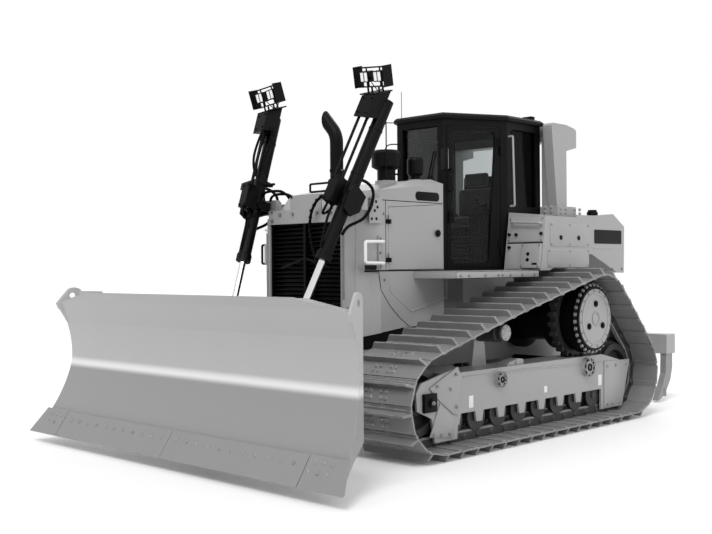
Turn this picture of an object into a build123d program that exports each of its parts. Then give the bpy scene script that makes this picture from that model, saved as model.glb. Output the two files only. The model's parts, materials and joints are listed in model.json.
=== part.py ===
from build123d import *
import os
from math import atan2, cos, hypot, pi, radians, sin, sqrt

# Crawler bulldozer with a power angle-and-tilt blade and a rear ripper.
# Millimetres. +X points forward, +Y to the machine's left, +Z up.
# The origin lies on the ground, under the middle of the overall length.

os.makedirs("parts", exist_ok=True)

# ---------------------------------------------------------------- driving sizes
TRACK_Y = 1143.0            # track centre, half of the gauge
SHOE_WIDTH = 787.0
PITCH = 203.2               # pin to pin
SHOES = 45
PIN_HEIGHT = 115.0          # ground to pin line, grousers included
SHOE_SEAT = 40.0            # pin line to the shoe's seat on the links
SHOE_PLATE = 13.0
GROUSER_THICK = 20.0
GROUSER_TAPER = 40.0        # each end of a grouser leans in by this much
RAIL_DEPTH = 52.0           # pin line to the rail that the rollers run on
LINK_OFFSET = 84.0          # track centre to the middle of a link strand
LINK_WIDTH = 44.0

IDLER_PIN_R = 365.0
IDLER_Z = PIN_HEIGHT + IDLER_PIN_R
REAR_IDLER_X = -1649.0
SPROCKET_X = -1004.0
SPROCKET_Z = 1078.0
SPROCKET_TEETH = 25
SPROCKET_PIN_R = PITCH * SPROCKET_TEETH / 2 / (2 * pi)
CARRIER_X = 450.0
CARRIER_Z = 1006.0
CARRIER_R = 95.0
SHOE_PHASE = 60.0           # shifts the first pin along the loop

FRAME_HALF = 155.0          # track roller frame, half width outside its plates
FRAME_PLATE = 22.0
FRAME_TOP = 690.0
FRAME_BOTTOM = 332.0
FRAME_REAR = -1300.0
FRAME_FRONT = 1110.0
ROLLER_R = 110.0
ROLLER_FIRST_X = -1170.0
ROLLER_STEP = 330.0
ROLLERS = 8

LIFT_PIVOT = (982.0, 560.0)         # blade frame trunnion, x and z
ARM_Y = (612.0, 718.0)              # blade frame arm, inner and outer face
ARM_Z = (470.0, 650.0)
ANGLE_PIVOT_X = 2700.0
BLADE_PIVOT_Z = 560.0

LIFT_EYE = (2407.0, 385.0, 740.0)
LIFT_TRUNNION = (1780.0, 611.0, 2200.0)
LIFT_BARREL_R = 60.0
LIFT_BORE_R = 48.0
LIFT_ROD_R = 30.0
RUNNING = 0.05                      # radial running clearance at pins and rods
SEAT = 0.3                          # gap between faces that turn on each other

ANGLE_BASE = (1632.0, 660.0, 760.0)
ANGLE_EYE = (2862.0, 700.0, 710.0)

GUARD_X = (1560.0, 1722.0)
HOOD_Y = 600.0
PLATFORM_Z = (1540.0, 1570.0)
TANK_Y = 1100.0

CAB_FLOOR = 1570.0
CAB_TOP = 3120.0
CAB_WALL = 60.0
CAB_FRONT = (75.0, 310.0)
CAB_MIDDLE = (-570.0, 635.0)
CAB_REAR = (-1180.0, 635.0)

RIPPER_PIVOT = (-2250.0, 560.0)
RIPPER_LINK = 800.0
RIPPER_RISE = 400.0                 # upper link over lower link


# ---------------------------------------------------------------- small helpers
def finish(builder, name):
    """Label one finished piece and write its file."""
    builder.part.label = name
    export_step(builder.part, f"parts/{name}.step")


def finish_both(builder, name):
    """Write a piece and its mirror image as one node."""
    with BuildPart() as both:
        add(builder.part)
        mirror(builder.part, about=Plane.XZ)
    finish(both, name)


def finish_pair(builder, name):
    """Write a left piece and its mirror image on the right."""
    finish(builder, name + "_left")
    with BuildPart() as other:
        mirror(builder.part, about=Plane.XZ)
    finish(other, name + "_right")


def slab(x, y, z, mode=Mode.ADD):
    """A square block between two stations on each axis."""
    centre = [(low + high) / 2 for low, high in (x, y, z)]
    with Locations(tuple(centre)):
        Box(x[1] - x[0], y[1] - y[0], z[1] - z[0], mode=mode)


def profile(plane, outline, depth, mode=Mode.ADD):
    """Extrude a closed outline of straight lines from a plane."""
    with BuildSketch(plane) as face:
        with BuildLine():
            Polyline(*outline, close=True)
        make_face()
    extrude(face.sketch, amount=depth, mode=mode)


def side_profile(outline, y, mode=Mode.ADD):
    """An outline of (x, z) between two stations across the machine."""
    profile(Plane.XZ.offset(-y[1]), outline, y[1] - y[0], mode)


def plan_profile(outline, z, mode=Mode.ADD):
    """An outline of (x, y) between two heights."""
    profile(Plane.XY.offset(z[0]), outline, z[1] - z[0], mode)


def cross_profile(outline, x, mode=Mode.ADD):
    """An outline of (y, z) between two stations along the machine."""
    profile(Plane.YZ.offset(x[0]), outline, x[1] - x[0], mode)


def turned(outline, x, z, mode=Mode.ADD):
    """Revolve an outline of (station along +Y, radius) about a cross axle."""
    plane = Plane(origin=(x, 0, z), x_dir=(0, 1, 0), z_dir=(1, 0, 0))
    with BuildSketch(plane) as section:
        with BuildLine():
            Polyline(*outline, close=True)
        make_face()
    revolve(section.sketch, axis=Axis((x, 0, z), (0, 1, 0)), mode=mode)


def rod(start, end, radius, mode=Mode.ADD):
    """A round bar from one point to another."""
    span = Vector(*end) - Vector(*start)
    with BuildSketch(Plane(origin=start, z_dir=span)) as circle:
        Circle(radius)
    extrude(circle.sketch, amount=span.length, mode=mode)


def mirrored(outline):
    """Close a half outline of (x, y) by its mirror image across the middle."""
    return outline + [(x, -y) for x, y in reversed(outline)]


# ---------------------------------------------------------------- track loop
def run_normal(a, b):
    """Outward normal of the straight run from wheel a to wheel b (x, z, radius)."""
    dx, dz = b[0] - a[0], b[1] - a[1]
    span = hypot(dx, dz)
    along = (a[2] - b[2]) / span
    across = sqrt(1 - along**2)
    return (along * dx - across * dz) / span, (along * dz + across * dx) / span


def loop_runs(wheels):
    """Arc and straight run of every wheel in turn: (wheel, first angle, turn, next wheel)."""
    runs = []
    for i, wheel in enumerate(wheels):
        arrive = run_normal(wheels[i - 1], wheel)
        leave = run_normal(wheel, wheels[(i + 1) % len(wheels)])
        first = atan2(arrive[1], arrive[0])
        turn = (first - atan2(leave[1], leave[0])) % (2 * pi)
        runs.append((wheel, first, turn, wheels[(i + 1) % len(wheels)]))
    return runs


def straight_length(wheel, after):
    """Length of the straight run between two wheels."""
    return sqrt(hypot(after[0] - wheel[0], after[1] - wheel[1]) ** 2 - (wheel[2] - after[2]) ** 2)


def loop_length(wheels):
    """Length of the whole pin line."""
    return sum(
        wheel[2] * turn + straight_length(wheel, after) for wheel, first, turn, after in loop_runs(wheels)
    )


def pin_at(wheels, station):
    """The point (x, z) at a station along the pin line."""
    station %= loop_length(wheels)
    for wheel, first, turn, after in loop_runs(wheels):
        if station <= wheel[2] * turn:
            angle = first - station / wheel[2]
            return wheel[0] + wheel[2] * cos(angle), wheel[1] + wheel[2] * sin(angle)
        station -= wheel[2] * turn
        straight = straight_length(wheel, after)
        if station <= straight:
            nx, nz = run_normal(wheel, after)
            return wheel[0] + wheel[2] * nx + station * nz, wheel[1] + wheel[2] * nz - station * nx
        station -= straight
    return pin_at(wheels, 0)


def track_wheels(front_idler_x):
    """The wheels that the pin line runs round: x, z and pin radius."""
    return [
        (front_idler_x, IDLER_Z, IDLER_PIN_R),
        (REAR_IDLER_X, IDLER_Z, IDLER_PIN_R),
        (SPROCKET_X, SPROCKET_Z, SPROCKET_PIN_R),
        (CARRIER_X, CARRIER_Z, CARRIER_R + RAIL_DEPTH),
    ]


# The tensioner sets the front idler where the loop closes on a whole number of shoes.
near, far = SPROCKET_X + 10 * IDLER_PIN_R * 0.4, SPROCKET_X + 12 * IDLER_PIN_R
for step in range(40):
    FRONT_IDLER_X = (near + far) / 2
    if loop_length(track_wheels(FRONT_IDLER_X)) < SHOES * PITCH:
        near = FRONT_IDLER_X
    else:
        far = FRONT_IDLER_X
WHEELS = track_wheels(FRONT_IDLER_X)
PINS = [pin_at(WHEELS, SHOE_PHASE + k * PITCH) for k in range(SHOES)]
print("front idler x", round(FRONT_IDLER_X, 1))


def chord(k):
    """Unit vector from pin k to the next pin."""
    (x0, z0), (x1, z1) = PINS[k], PINS[(k + 1) % SHOES]
    span = hypot(x1 - x0, z1 - z0)
    return (x1 - x0) / span, (z1 - z0) / span


def offset_pins(distance):
    """The pin polygon moved outwards by a distance, with mitred corners."""
    corners = []
    for k, (x, z) in enumerate(PINS):
        (ax, az), (bx, bz) = chord(k - 1), chord(k)
        nx, nz = -(az + bz), ax + bx
        scale = distance * 2 / (nx**2 + nz**2)
        corners.append((x + nx * scale, z + nz * scale))
    return corners


# One shoe: a flat plate with a single grouser whose ends lean in.
# Local x runs along the chain, y across it, z away from it.
SHOE_LENGTH = PITCH - 7
SHOE_TOP = SHOE_SEAT + SHOE_PLATE
GROUSER_PLACE = 32.0                # from the pin to the grouser's far face
with BuildPart() as shoe:
    slab((3.5, 3.5 + SHOE_LENGTH), (-SHOE_WIDTH / 2, SHOE_WIDTH / 2), (SHOE_SEAT, SHOE_TOP))
    profile(
        Plane.YZ.offset(GROUSER_PLACE),
        [
            (-SHOE_WIDTH / 2, SHOE_TOP),
            (SHOE_WIDTH / 2, SHOE_TOP),
            (SHOE_WIDTH / 2 - GROUSER_TAPER, PIN_HEIGHT),
            (-SHOE_WIDTH / 2 + GROUSER_TAPER, PIN_HEIGHT),
        ],
        GROUSER_THICK,
    )

with BuildPart() as track:
    for strand in (-LINK_OFFSET, LINK_OFFSET):
        middle = TRACK_Y + strand
        side_profile(offset_pins(SHOE_SEAT), (middle - LINK_WIDTH / 2, middle + LINK_WIDTH / 2))
        side_profile(
            offset_pins(-RAIL_DEPTH), (middle - LINK_WIDTH / 2, middle + LINK_WIDTH / 2), Mode.SUBTRACT
        )
    places = []
    for k, (x, z) in enumerate(PINS):
        ux, uz = chord(k)
        places.append(Plane(origin=(x, TRACK_Y, z), x_dir=(ux, 0, uz), z_dir=(-uz, 0, ux)).location)
    with Locations(*places):
        add(shoe.part)
finish_pair(track, "track")

# ---------------------------------------------------------------- wheels in the track
IDLER_TREAD = sqrt(IDLER_PIN_R**2 - (PITCH / 2) ** 2) - RAIL_DEPTH - 1
AXLE_END = FRAME_HALF - FRAME_PLATE
INNER_GAP = LINK_OFFSET - LINK_WIDTH / 2 - 4    # guide flange half width between the strands
OUTER_GAP = LINK_OFFSET + LINK_WIDTH / 2        # outside of a link strand

with BuildPart() as idlers:
    for x in (FRONT_IDLER_X, REAR_IDLER_X):
        half = [
            (AXLE_END, 0), (AXLE_END, 45), (OUTER_GAP, 45), (OUTER_GAP, 110), (40, 130), (40, 225),
            (OUTER_GAP, 235), (OUTER_GAP, IDLER_TREAD), (INNER_GAP, IDLER_TREAD),
            (INNER_GAP, IDLER_TREAD + 22),
        ]
        outline = [(TRACK_Y - y, r) for y, r in half] + [(TRACK_Y + y, r) for y, r in reversed(half)]
        turned(outline, x, IDLER_Z)
finish_both(idlers, "idlers")

ROLLER_Z = PIN_HEIGHT + RAIL_DEPTH + SEAT + ROLLER_R
ROLLER_X = [ROLLER_FIRST_X + k * ROLLER_STEP for k in range(ROLLERS)]
with BuildPart() as rollers:
    half = [
        (AXLE_END, 0), (AXLE_END, 34), (OUTER_GAP + 14, 34), (OUTER_GAP + 14, ROLLER_R + 16),
        (OUTER_GAP + 3, ROLLER_R + 18), (OUTER_GAP + 3, ROLLER_R), (INNER_GAP, ROLLER_R),
        (INNER_GAP, 80),
    ]
    outline = [(TRACK_Y - y, r) for y, r in half] + [(TRACK_Y + y, r) for y, r in reversed(half)]
    for x in ROLLER_X:
        turned(outline, x, ROLLER_Z)
    # Carrier roller, held from its inner end only.
    CARRIER_STAND = TRACK_Y - FRAME_HALF + 40
    turned(
        [
            (CARRIER_STAND, 0), (CARRIER_STAND, 40), (TRACK_Y - OUTER_GAP, 40),
            (TRACK_Y - OUTER_GAP, CARRIER_R - 4),
            (TRACK_Y + OUTER_GAP + 10, CARRIER_R - 4), (TRACK_Y + OUTER_GAP + 22, CARRIER_R - 12),
            (TRACK_Y + OUTER_GAP + 75, CARRIER_R - 12), (TRACK_Y + OUTER_GAP + 85, 70),
            (TRACK_Y + OUTER_GAP + 85, 0),
        ],
        CARRIER_X, CARRIER_Z,
    )
finish_both(rollers, "rollers")

# Sprocket: a toothed ring whose roots take the link bushings.
BUSHING_R = 33.0
SPROCKET_HALF = 38.0
SPROCKET_HUB_R = 300.0
with BuildPart() as sprocket:
    with BuildSketch(Plane.XZ.offset(-TRACK_Y - SPROCKET_HALF)) as rim:
        with Locations((SPROCKET_X, SPROCKET_Z)):
            Circle(SPROCKET_PIN_R + 16)
            Circle(SPROCKET_HUB_R, mode=Mode.SUBTRACT)
            with PolarLocations(SPROCKET_PIN_R + 6, SPROCKET_TEETH):
                Circle(BUSHING_R + 4, mode=Mode.SUBTRACT)
    extrude(rim.sketch, amount=2 * SPROCKET_HALF)
finish_both(sprocket, "sprockets")

# Final drive: axle housing from the rear case, sprocket hub, planet drum and bolted cover.
CASE_Y = 430.0
DRIVE_COVER_Y = TRACK_Y + 257.0
with BuildPart() as final_drive:
    turned(
        [
            (CASE_Y, 0), (CASE_Y, 300), (CASE_Y + 60, 330), (CASE_Y + 120, 330), (CASE_Y + 130, 250),
            (TRACK_Y - 243, 235), (TRACK_Y - 183, 325), (TRACK_Y - SPROCKET_HALF, 325),
            (TRACK_Y - SPROCKET_HALF, SPROCKET_HUB_R),
            (TRACK_Y + SPROCKET_HALF, SPROCKET_HUB_R), (TRACK_Y + SPROCKET_HALF, 325),
            (TRACK_Y + OUTER_GAP + 6, 325),
            (TRACK_Y + OUTER_GAP + 6, 352), (DRIVE_COVER_Y - 35, 352), (DRIVE_COVER_Y - 25, 330),
            (DRIVE_COVER_Y, 322), (DRIVE_COVER_Y, 0),
        ],
        SPROCKET_X, SPROCKET_Z,
    )
    with BuildSketch(Plane.XZ.offset(-DRIVE_COVER_Y)) as plugs:
        with Locations((SPROCKET_X, SPROCKET_Z)):
            with PolarLocations(150, 3, start_angle=90):
                Circle(32)
    extrude(plugs.sketch, amount=-14)
finish_both(final_drive, "final_drives")

# ---------------------------------------------------------------- track roller frame
PLATE_PAIRS = (
    (TRACK_Y - FRAME_HALF, TRACK_Y - FRAME_HALF + FRAME_PLATE),
    (TRACK_Y + FRAME_HALF - FRAME_PLATE, TRACK_Y + FRAME_HALF),
)
GUARD_FOOT = 118.0
with BuildPart() as roller_frame:
    for y in PLATE_PAIRS:
        side_profile(
            [
                (FRAME_REAR, FRAME_TOP), (REAR_IDLER_X - 60, 600), (REAR_IDLER_X - 95, 440),
                (REAR_IDLER_X + 30, 330),
                (REAR_IDLER_X + 70, GUARD_FOOT), (FRAME_REAR + 20, GUARD_FOOT),
                (FRAME_REAR + 20, FRAME_BOTTOM),
                (FRAME_FRONT, FRAME_BOTTOM), (FRAME_FRONT + 20, GUARD_FOOT),
                (FRONT_IDLER_X - 170, GUARD_FOOT),
                (FRONT_IDLER_X - 130, 330), (FRONT_IDLER_X + 60, 410), (FRONT_IDLER_X + 70, 560),
                (FRONT_IDLER_X + 10, 640), (FRAME_FRONT, 742), (FRAME_FRONT - 20, FRAME_TOP),
            ],
            y,
        )
        for x in ROLLER_X[1:]:
            side_profile([(x - 62, FRAME_BOTTOM), (x - 40, 238), (x + 40, 238), (x + 62, FRAME_BOTTOM)], y)
    box_y = (TRACK_Y - AXLE_END, TRACK_Y + AXLE_END)
    slab((FRAME_REAR, FRAME_FRONT), box_y, (FRAME_TOP - FRAME_PLATE, FRAME_TOP))
    side_profile(
        [(FRAME_FRONT, 742), (FRONT_IDLER_X - 290, 700), (FRONT_IDLER_X - 290, 680), (FRAME_FRONT, 722)],
        box_y
    )
    slab((FRAME_FRONT - 120, FRAME_FRONT - 100), box_y, (FRAME_BOTTOM + 120, FRAME_TOP))
    # Slot in the top plate where the sprocket dips in.
    slab((SPROCKET_X - 240, SPROCKET_X + 240), (TRACK_Y - 70, TRACK_Y + 70),
        (FRAME_TOP - 60, FRAME_TOP + 60), Mode.SUBTRACT)
    # Stand of the carrier roller.
    side_profile(
        [
            (CARRIER_X - 110, FRAME_TOP), (CARRIER_X + 110, FRAME_TOP), (CARRIER_X + 60, CARRIER_Z + 20),
            (CARRIER_X + 30, CARRIER_Z + 50), (CARRIER_X - 30, CARRIER_Z + 50),
            (CARRIER_X - 60, CARRIER_Z + 20),
        ],
        (CARRIER_STAND - 40, CARRIER_STAND),
    )
    # Outer caps of the equaliser bar and of the pivot shaft.
    for x, z, r in ((524, 585, 72), (SPROCKET_X + 19, 581, 95)):
        turned(
            [(TRACK_Y + FRAME_HALF, 0), (TRACK_Y + FRAME_HALF, r), (TRACK_Y + FRAME_HALF + 40, r - 8),
             (TRACK_Y + FRAME_HALF + 46, r - 18), (TRACK_Y + FRAME_HALF + 46, 0)],
            x, z,
        )
finish_both(roller_frame, "roller_frames")

# ---------------------------------------------------------------- main frame, case and engine
RAIL_Y = (330.0, CASE_Y)
RAIL_Z = (640.0, 860.0)
FRAME_SPAN = (-700.0, GUARD_X[1])
with BuildPart() as main_frame:
    for side in (1, -1):
        low, high = sorted((side * RAIL_Y[0], side * RAIL_Y[1]))
        slab(FRAME_SPAN, (low, high), RAIL_Z)
        # Trunnion block of the blade frame under each rail, with its pin.
        x, z = LIFT_PIVOT
        low, high = sorted((side * RAIL_Y[0], side * (ARM_Y[0] - SEAT)))
        side_profile([(x - 170, RAIL_Z[0]), (x - 100, z - 110), (x + 100, z - 110), (x + 170, RAIL_Z[0])],
            (low, high))
        slab((x - 170, x + 170), (low, high), (RAIL_Z[0], RAIL_Z[0] + 60))
        rod((x, side * (ARM_Y[0] - 20), z), (x, side * (ARM_Y[1] + 14), z), 60)
    slab((GUARD_X[0], GUARD_X[1]), (-RAIL_Y[0], RAIL_Y[0]), RAIL_Z)
    slab((-700, GUARD_X[0]), (-RAIL_Y[0], RAIL_Y[0]), (RAIL_Z[0], RAIL_Z[0] + 25))
finish(main_frame, "main_frame")

with BuildPart() as rear_case:
    side_profile(
        [(-700, 560), (-1650, 560), (-1750, 660), (-1750, 1180), (-1600, 1300), (-760, 1300), (-700, 1240)],
        (-CASE_Y, CASE_Y),
    )
    edges = rear_case.edges().filter_by(Axis.X).group_by(Axis.Z)[-1]
    chamfer(edges, 40)
    # Mast that carries the cab floor over the case.
    slab((-1150, -250), (-300, 300), (1240, CAB_FLOOR - SEAT))
    side_profile(
        [(-1700, 1180), (-1480, 1180), (-1480, 1723 - SEAT), (-1700, 1643 - SEAT)], (-300, 300)
    )
finish(rear_case, "rear_case")

with BuildPart() as pivot_shafts:
    for low, high in ((CASE_Y, TRACK_Y - FRAME_HALF), (-TRACK_Y + FRAME_HALF, -CASE_Y)):
        rod((SPROCKET_X + 19, low, 581), (SPROCKET_X + 19, high, 581), 85)
    slab((267, 387), (-TRACK_Y + FRAME_HALF, TRACK_Y - FRAME_HALF), (519, RAIL_Z[0]))
finish(pivot_shafts, "pivot_shafts")

with BuildPart() as engine:
    slab((470, 1450), (-340, 340), (RAIL_Z[1], 1950))
    chamfer(engine.edges().filter_by(Axis.X).group_by(Axis.Z)[-1], 60)
finish(engine, "engine")

# ---------------------------------------------------------------- front guard, grille, hood
GUARD_TOP = 2153.0
GUARD_SIDE = 505.0
GRILLE_X = 1690.0
PLATE_HALF = 205.0
PLATE_TOP = 2287.0
with BuildPart() as radiator_guard:
    for side in (1, -1):
        low, high = sorted((side * 470, side * GUARD_SIDE))
        slab((GUARD_X[0], GUARD_X[1]), (low, high), (RAIL_Z[1], GUARD_TOP))
        # Bracket arm that carries the lift cylinder's yoke.
        low, high = sorted((side * 470, side * (LIFT_TRUNNION[1] + 50)))
        side_profile(
            [(1570, 2120), (LIFT_TRUNNION[0] - 132, 2120), (LIFT_TRUNNION[0] - 132, 2262), (1600, 2262),
                (1570, 2235)],
            (low, high),
        )
        x, y, z = LIFT_TRUNNION
        rod((x - 200, side * y, z), (x - 60, side * y, z), 35 + RUNNING, Mode.SUBTRACT)
    slab((GUARD_X[0], GUARD_X[1]), (-GUARD_SIDE, GUARD_SIDE), (GUARD_TOP - 130, GUARD_TOP))
    slab((GUARD_X[0], GUARD_X[1]), (-GUARD_SIDE, GUARD_SIDE), (RAIL_Z[1], RAIL_Z[1] + 120))
    slab((GUARD_X[0], GUARD_X[0] + 60), (-470, 470), (RAIL_Z[1] + 120, GUARD_TOP - 130))
    for side in (1, -1):
        # Room for the yoke to roll past the guard's front corner.
        low, high = sorted((side * (GUARD_SIDE - 20), side * (GUARD_SIDE + 10)))
        slab((1640, GUARD_X[1] + 10), (low, high), (2080, GUARD_TOP + 10), Mode.SUBTRACT)
    # Bare plate standing on the guard's top edge.
    slab((GUARD_X[1] - 34, GUARD_X[1] - 22), (-PLATE_HALF, PLATE_HALF), (GUARD_TOP - 5, PLATE_TOP))
finish(radiator_guard, "radiator_guard")

GRILLE_Z = (RAIL_Z[1] + 120, GUARD_TOP - 130)
with BuildPart() as grille:
    slab((GUARD_X[0] + 60, GUARD_X[0] + 72), (-470, 470), GRILLE_Z)
    slats = 26
    step = (GRILLE_Z[1] - GRILLE_Z[0]) / slats
    for k in range(slats):
        z = GRILLE_Z[0] + k * step
        side_profile(
            [(GUARD_X[0] + 70, z + 8), (GRILLE_X, z + 26), (GRILLE_X, z + 32), (GUARD_X[0] + 70, z + 14)],
            (-455, 455)
        )
    for y in ((-470, -455), (-8, 8), (455, 470)):
        slab((GUARD_X[0] + 60, GRILLE_X + 14), y, GRILLE_Z)
finish(grille, "grille")

HOOD_REAR = 439.0
PANEL = 30.0
DOOR_X = (455.0, 1232.0)
DOOR_Z = (1590.0, 2164.0)           # lower edge, and upper edge at the front end
DOOR_RISE = 52.0                    # the upper edge climbs by this much to the rear
DOOR_OUTLINE = [(DOOR_X[0], DOOR_Z[0]), (DOOR_X[1], DOOR_Z[0]), (DOOR_X[1], DOOR_Z[1]),
    (DOOR_X[0], DOOR_Z[1] + DOOR_RISE)]
HOOD_EDGE = ((1342.0, 2318.0), (HOOD_REAR, 2415.0))      # long upper edges, front and rear end
HOOD_CREST = ((790.0, 2436.0), (500.0, 2462.0))          # the roof between its sloping long edges
HOOD_SHOULDER = (790.0, 485.0, 2436.0)                   # where the slope from the edge meets the crest
HOOD_OUTLINE = [
    (HOOD_REAR, 1060), (1000, 1060), (1560, 1000), (1560, 2153), HOOD_EDGE[0], HOOD_CREST[0], HOOD_CREST[1],
    HOOD_EDGE[1],
]
TOP_SEATS = ((1290, 0, 85, 2350), (790, 180, 110, 2450), (500, 300, 65, 2470))


def hood_shoulder(side):
    """Plane of the roof's slope on one side, its normal outwards."""
    (front_x, front_z), (rear_x, rear_z) = HOOD_EDGE
    front = Vector(front_x, side * HOOD_Y, front_z)
    rear = Vector(rear_x, side * HOOD_Y, rear_z)
    x, y, z = HOOD_SHOULDER
    normal = (rear - front).cross(Vector(x, side * y, z) - front)
    return Plane(origin=front, x_dir=rear - front, z_dir=normal * (1 if normal.Z > 0 else -1))


with BuildPart() as hood:
    side_profile(HOOD_OUTLINE, (-HOOD_Y, HOOD_Y))
    side_profile(
        [
            (HOOD_REAR + PANEL, 900), (1560, 900), (1560, 2153 - PANEL), (1335, 2318 - PANEL),
            (HOOD_REAR + PANEL, 2415 - PANEL),
        ],
        (-HOOD_Y + PANEL, HOOD_Y - PANEL), Mode.SUBTRACT,
    )
    # Taper of the nose towards the guard.
    for side in (1, -1):
        plan_profile(
            [(1340, side * HOOD_Y), (1600, side * HOOD_Y), (1600, side * GUARD_SIDE),
                (1560, side * GUARD_SIDE)],
            (900, 2600), Mode.SUBTRACT,
        )
        low, high = sorted((side * (HOOD_Y - PANEL - 5), side * (HOOD_Y + 5)))
        side_profile(DOOR_OUTLINE, (low, high), Mode.SUBTRACT)
        with BuildSketch(hood_shoulder(side)):
            Rectangle(4000, 500)
        extrude(amount=200, mode=Mode.SUBTRACT)
    # Narrow rear hood in front of the cab.
    slab((CAB_FRONT[0], HOOD_REAR + 10), (-290, 290), (CAB_FLOOR, 2300))
    # Flat seats of the exhaust and the precleaners on the sloping top.
    for x, y, r, top in TOP_SEATS:
        rod((x, y, 2330), (x, y, top), r)
finish(hood, "hood")

HINGE_R = 14.0
SERVICE_HINGE = (DOOR_X[1] - 4, HOOD_Y + HINGE_R + 2)
with BuildPart() as service_door:
    with BuildSketch(Plane.XZ.offset(-HOOD_Y)) as leaf:
        with BuildLine():
            Polyline(*DOOR_OUTLINE, close=True)
        make_face()
        offset(amount=-4, kind=Kind.INTERSECTION)
    extrude(leaf.sketch, amount=PANEL)
    for z in (1700.0, 2050.0):
        with BuildSketch(Plane.XY.offset(z)) as knuckle:
            with Locations(SERVICE_HINGE):
                Circle(HINGE_R)
            with Locations((SERVICE_HINGE[0] - 12, HOOD_Y + 8)):
                Rectangle(24, 20)
        extrude(knuckle.sketch, amount=40)
finish_pair(service_door, "service_door")

with BuildPart() as door_hinges:
    for side in (1, -1):
        for z in (1700.0, 2050.0):
            with BuildSketch(Plane.XY.offset(z - 40 - SEAT)) as knuckle:
                with Locations((SERVICE_HINGE[0], side * SERVICE_HINGE[1])):
                    Circle(HINGE_R)
                with Locations((SERVICE_HINGE[0] + 20, side * (HOOD_Y + 8))):
                    Rectangle(36, 16)
            extrude(knuckle.sketch, amount=40)

EXHAUST_X = 1290.0
EXHAUST_R = 63.0
EXHAUST_BEND = (200.0, 43.0)        # radius and turn of the bend towards the right side
EXHAUST_CUT_Y = -137.0
with BuildPart() as exhaust:
    pipe_plane = Plane(origin=(EXHAUST_X, 0, 2350), x_dir=(0, -1, 0), z_dir=(-1, 0, 0))
    bend_r, bend_turn = EXHAUST_BEND
    with BuildLine(pipe_plane) as path:
        Line((0, 0), (0, 445))
        JernArc((0, 445), (0, 1), bend_r, -bend_turn)
        Line(path.edges()[-1] @ 1, path.edges()[-1] @ 1 + (path.edges()[-1] % 1) * 260)
    with BuildSketch(Plane(origin=(EXHAUST_X, 0, 2350), z_dir=(0, 0, 1))):
        Circle(EXHAUST_R)
        Circle(EXHAUST_R - 5, mode=Mode.SUBTRACT)
    sweep(path=path.wire())
    # The mouth is cut square across the machine.
    slab((EXHAUST_X - 100, EXHAUST_X + 100), (-500, EXHAUST_CUT_Y), (2800, 3400), Mode.SUBTRACT)
finish(exhaust, "exhaust")

with BuildPart() as precleaners:
    for x, y, r, base, top in ((790, 180, 143, 2450, 2745), (500, 300, 80, 2470, 2690)):
        with BuildSketch(Plane(origin=(x, y, 0), x_dir=(1, 0, 0), z_dir=(0, -1, 0))) as half:
            with BuildLine():
                Polyline(
                    (0, base), (r * 0.62, base), (r * 0.62, top - 190), (r, top - 160), (r, top - 30),
                    (r * 0.85, top), (0, top), close=True,
                )
            make_face()
        revolve(half.sketch, axis=Axis((x, y, 0), (0, 0, 1)))
finish(precleaners, "precleaners")

# ---------------------------------------------------------------- platform, tank, rops
SIDE_BOX_X = (-1448.0, -578.0)
SIDE_BOX_TOE = -483.0               # the front leans forward to its foot
SIDE_BOX_TOP = (2170.0, 2117.0)     # inner and outer height of the sloping lid
SIDE_BOX_IN = CAB_REAR[1] + 15
FOOT_FRONT = -1152.0                # the ROPS foot stands behind this
TANK_SEAT = 2150.0
TANK_OUTLINE = [
    (SIDE_BOX_X[0], TANK_SEAT), (-1540, TANK_SEAT), (-1899, 2179), (-2140, 2045), (-2125, 1532),
    (-1960, 1540), (-1719, 1636),
    (SIDE_BOX_X[0], 1735),
]
with BuildPart() as fuel_tank:
    side_profile(TANK_OUTLINE, (-TANK_Y, TANK_Y))
finish(fuel_tank, "fuel_tank")

with BuildPart() as side_box:
    side_profile(
        [
            (SIDE_BOX_TOE, PLATFORM_Z[1] + SEAT), (SIDE_BOX_X[1], SIDE_BOX_TOP[0]),
            (FOOT_FRONT, SIDE_BOX_TOP[0]),
            (FOOT_FRONT, TANK_SEAT - 2), (SIDE_BOX_X[0] + SEAT, TANK_SEAT - 2), (SIDE_BOX_X[0] + SEAT, 1735),
            (-1023, 1744), (-720, 1600), (-640, PLATFORM_Z[1] + SEAT),
        ],
        (SIDE_BOX_IN, TANK_Y),
    )
    cross_profile(
        [
            (SIDE_BOX_IN, SIDE_BOX_TOP[0]), (TANK_Y, SIDE_BOX_TOP[1]), (TANK_Y, SIDE_BOX_TOP[0] + 10),
            (SIDE_BOX_IN, SIDE_BOX_TOP[0] + 10),
        ],
        (FOOT_FRONT, SIDE_BOX_TOE), Mode.SUBTRACT,
    )
finish_both(side_box, "side_boxes")

PLATFORM_FRONT = 882.0
PLATFORM_LIP = 65.0                 # height of the outer edge plate
with BuildPart() as platform:
    plan_profile(
        [
            (PLATFORM_FRONT, HOOD_Y + 1), (PLATFORM_FRONT, TANK_Y), (-620, TANK_Y), (-620, 420),
            (CAB_FRONT[0], 340),
            (HOOD_REAR - 2, 340), (HOOD_REAR - 2, HOOD_Y + 1),
        ],
        PLATFORM_Z,
    )
    slab((-440, PLATFORM_FRONT), (TANK_Y - 30, TANK_Y), (PLATFORM_Z[1] - PLATFORM_LIP, PLATFORM_Z[1]))
finish_both(platform, "platforms")

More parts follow.
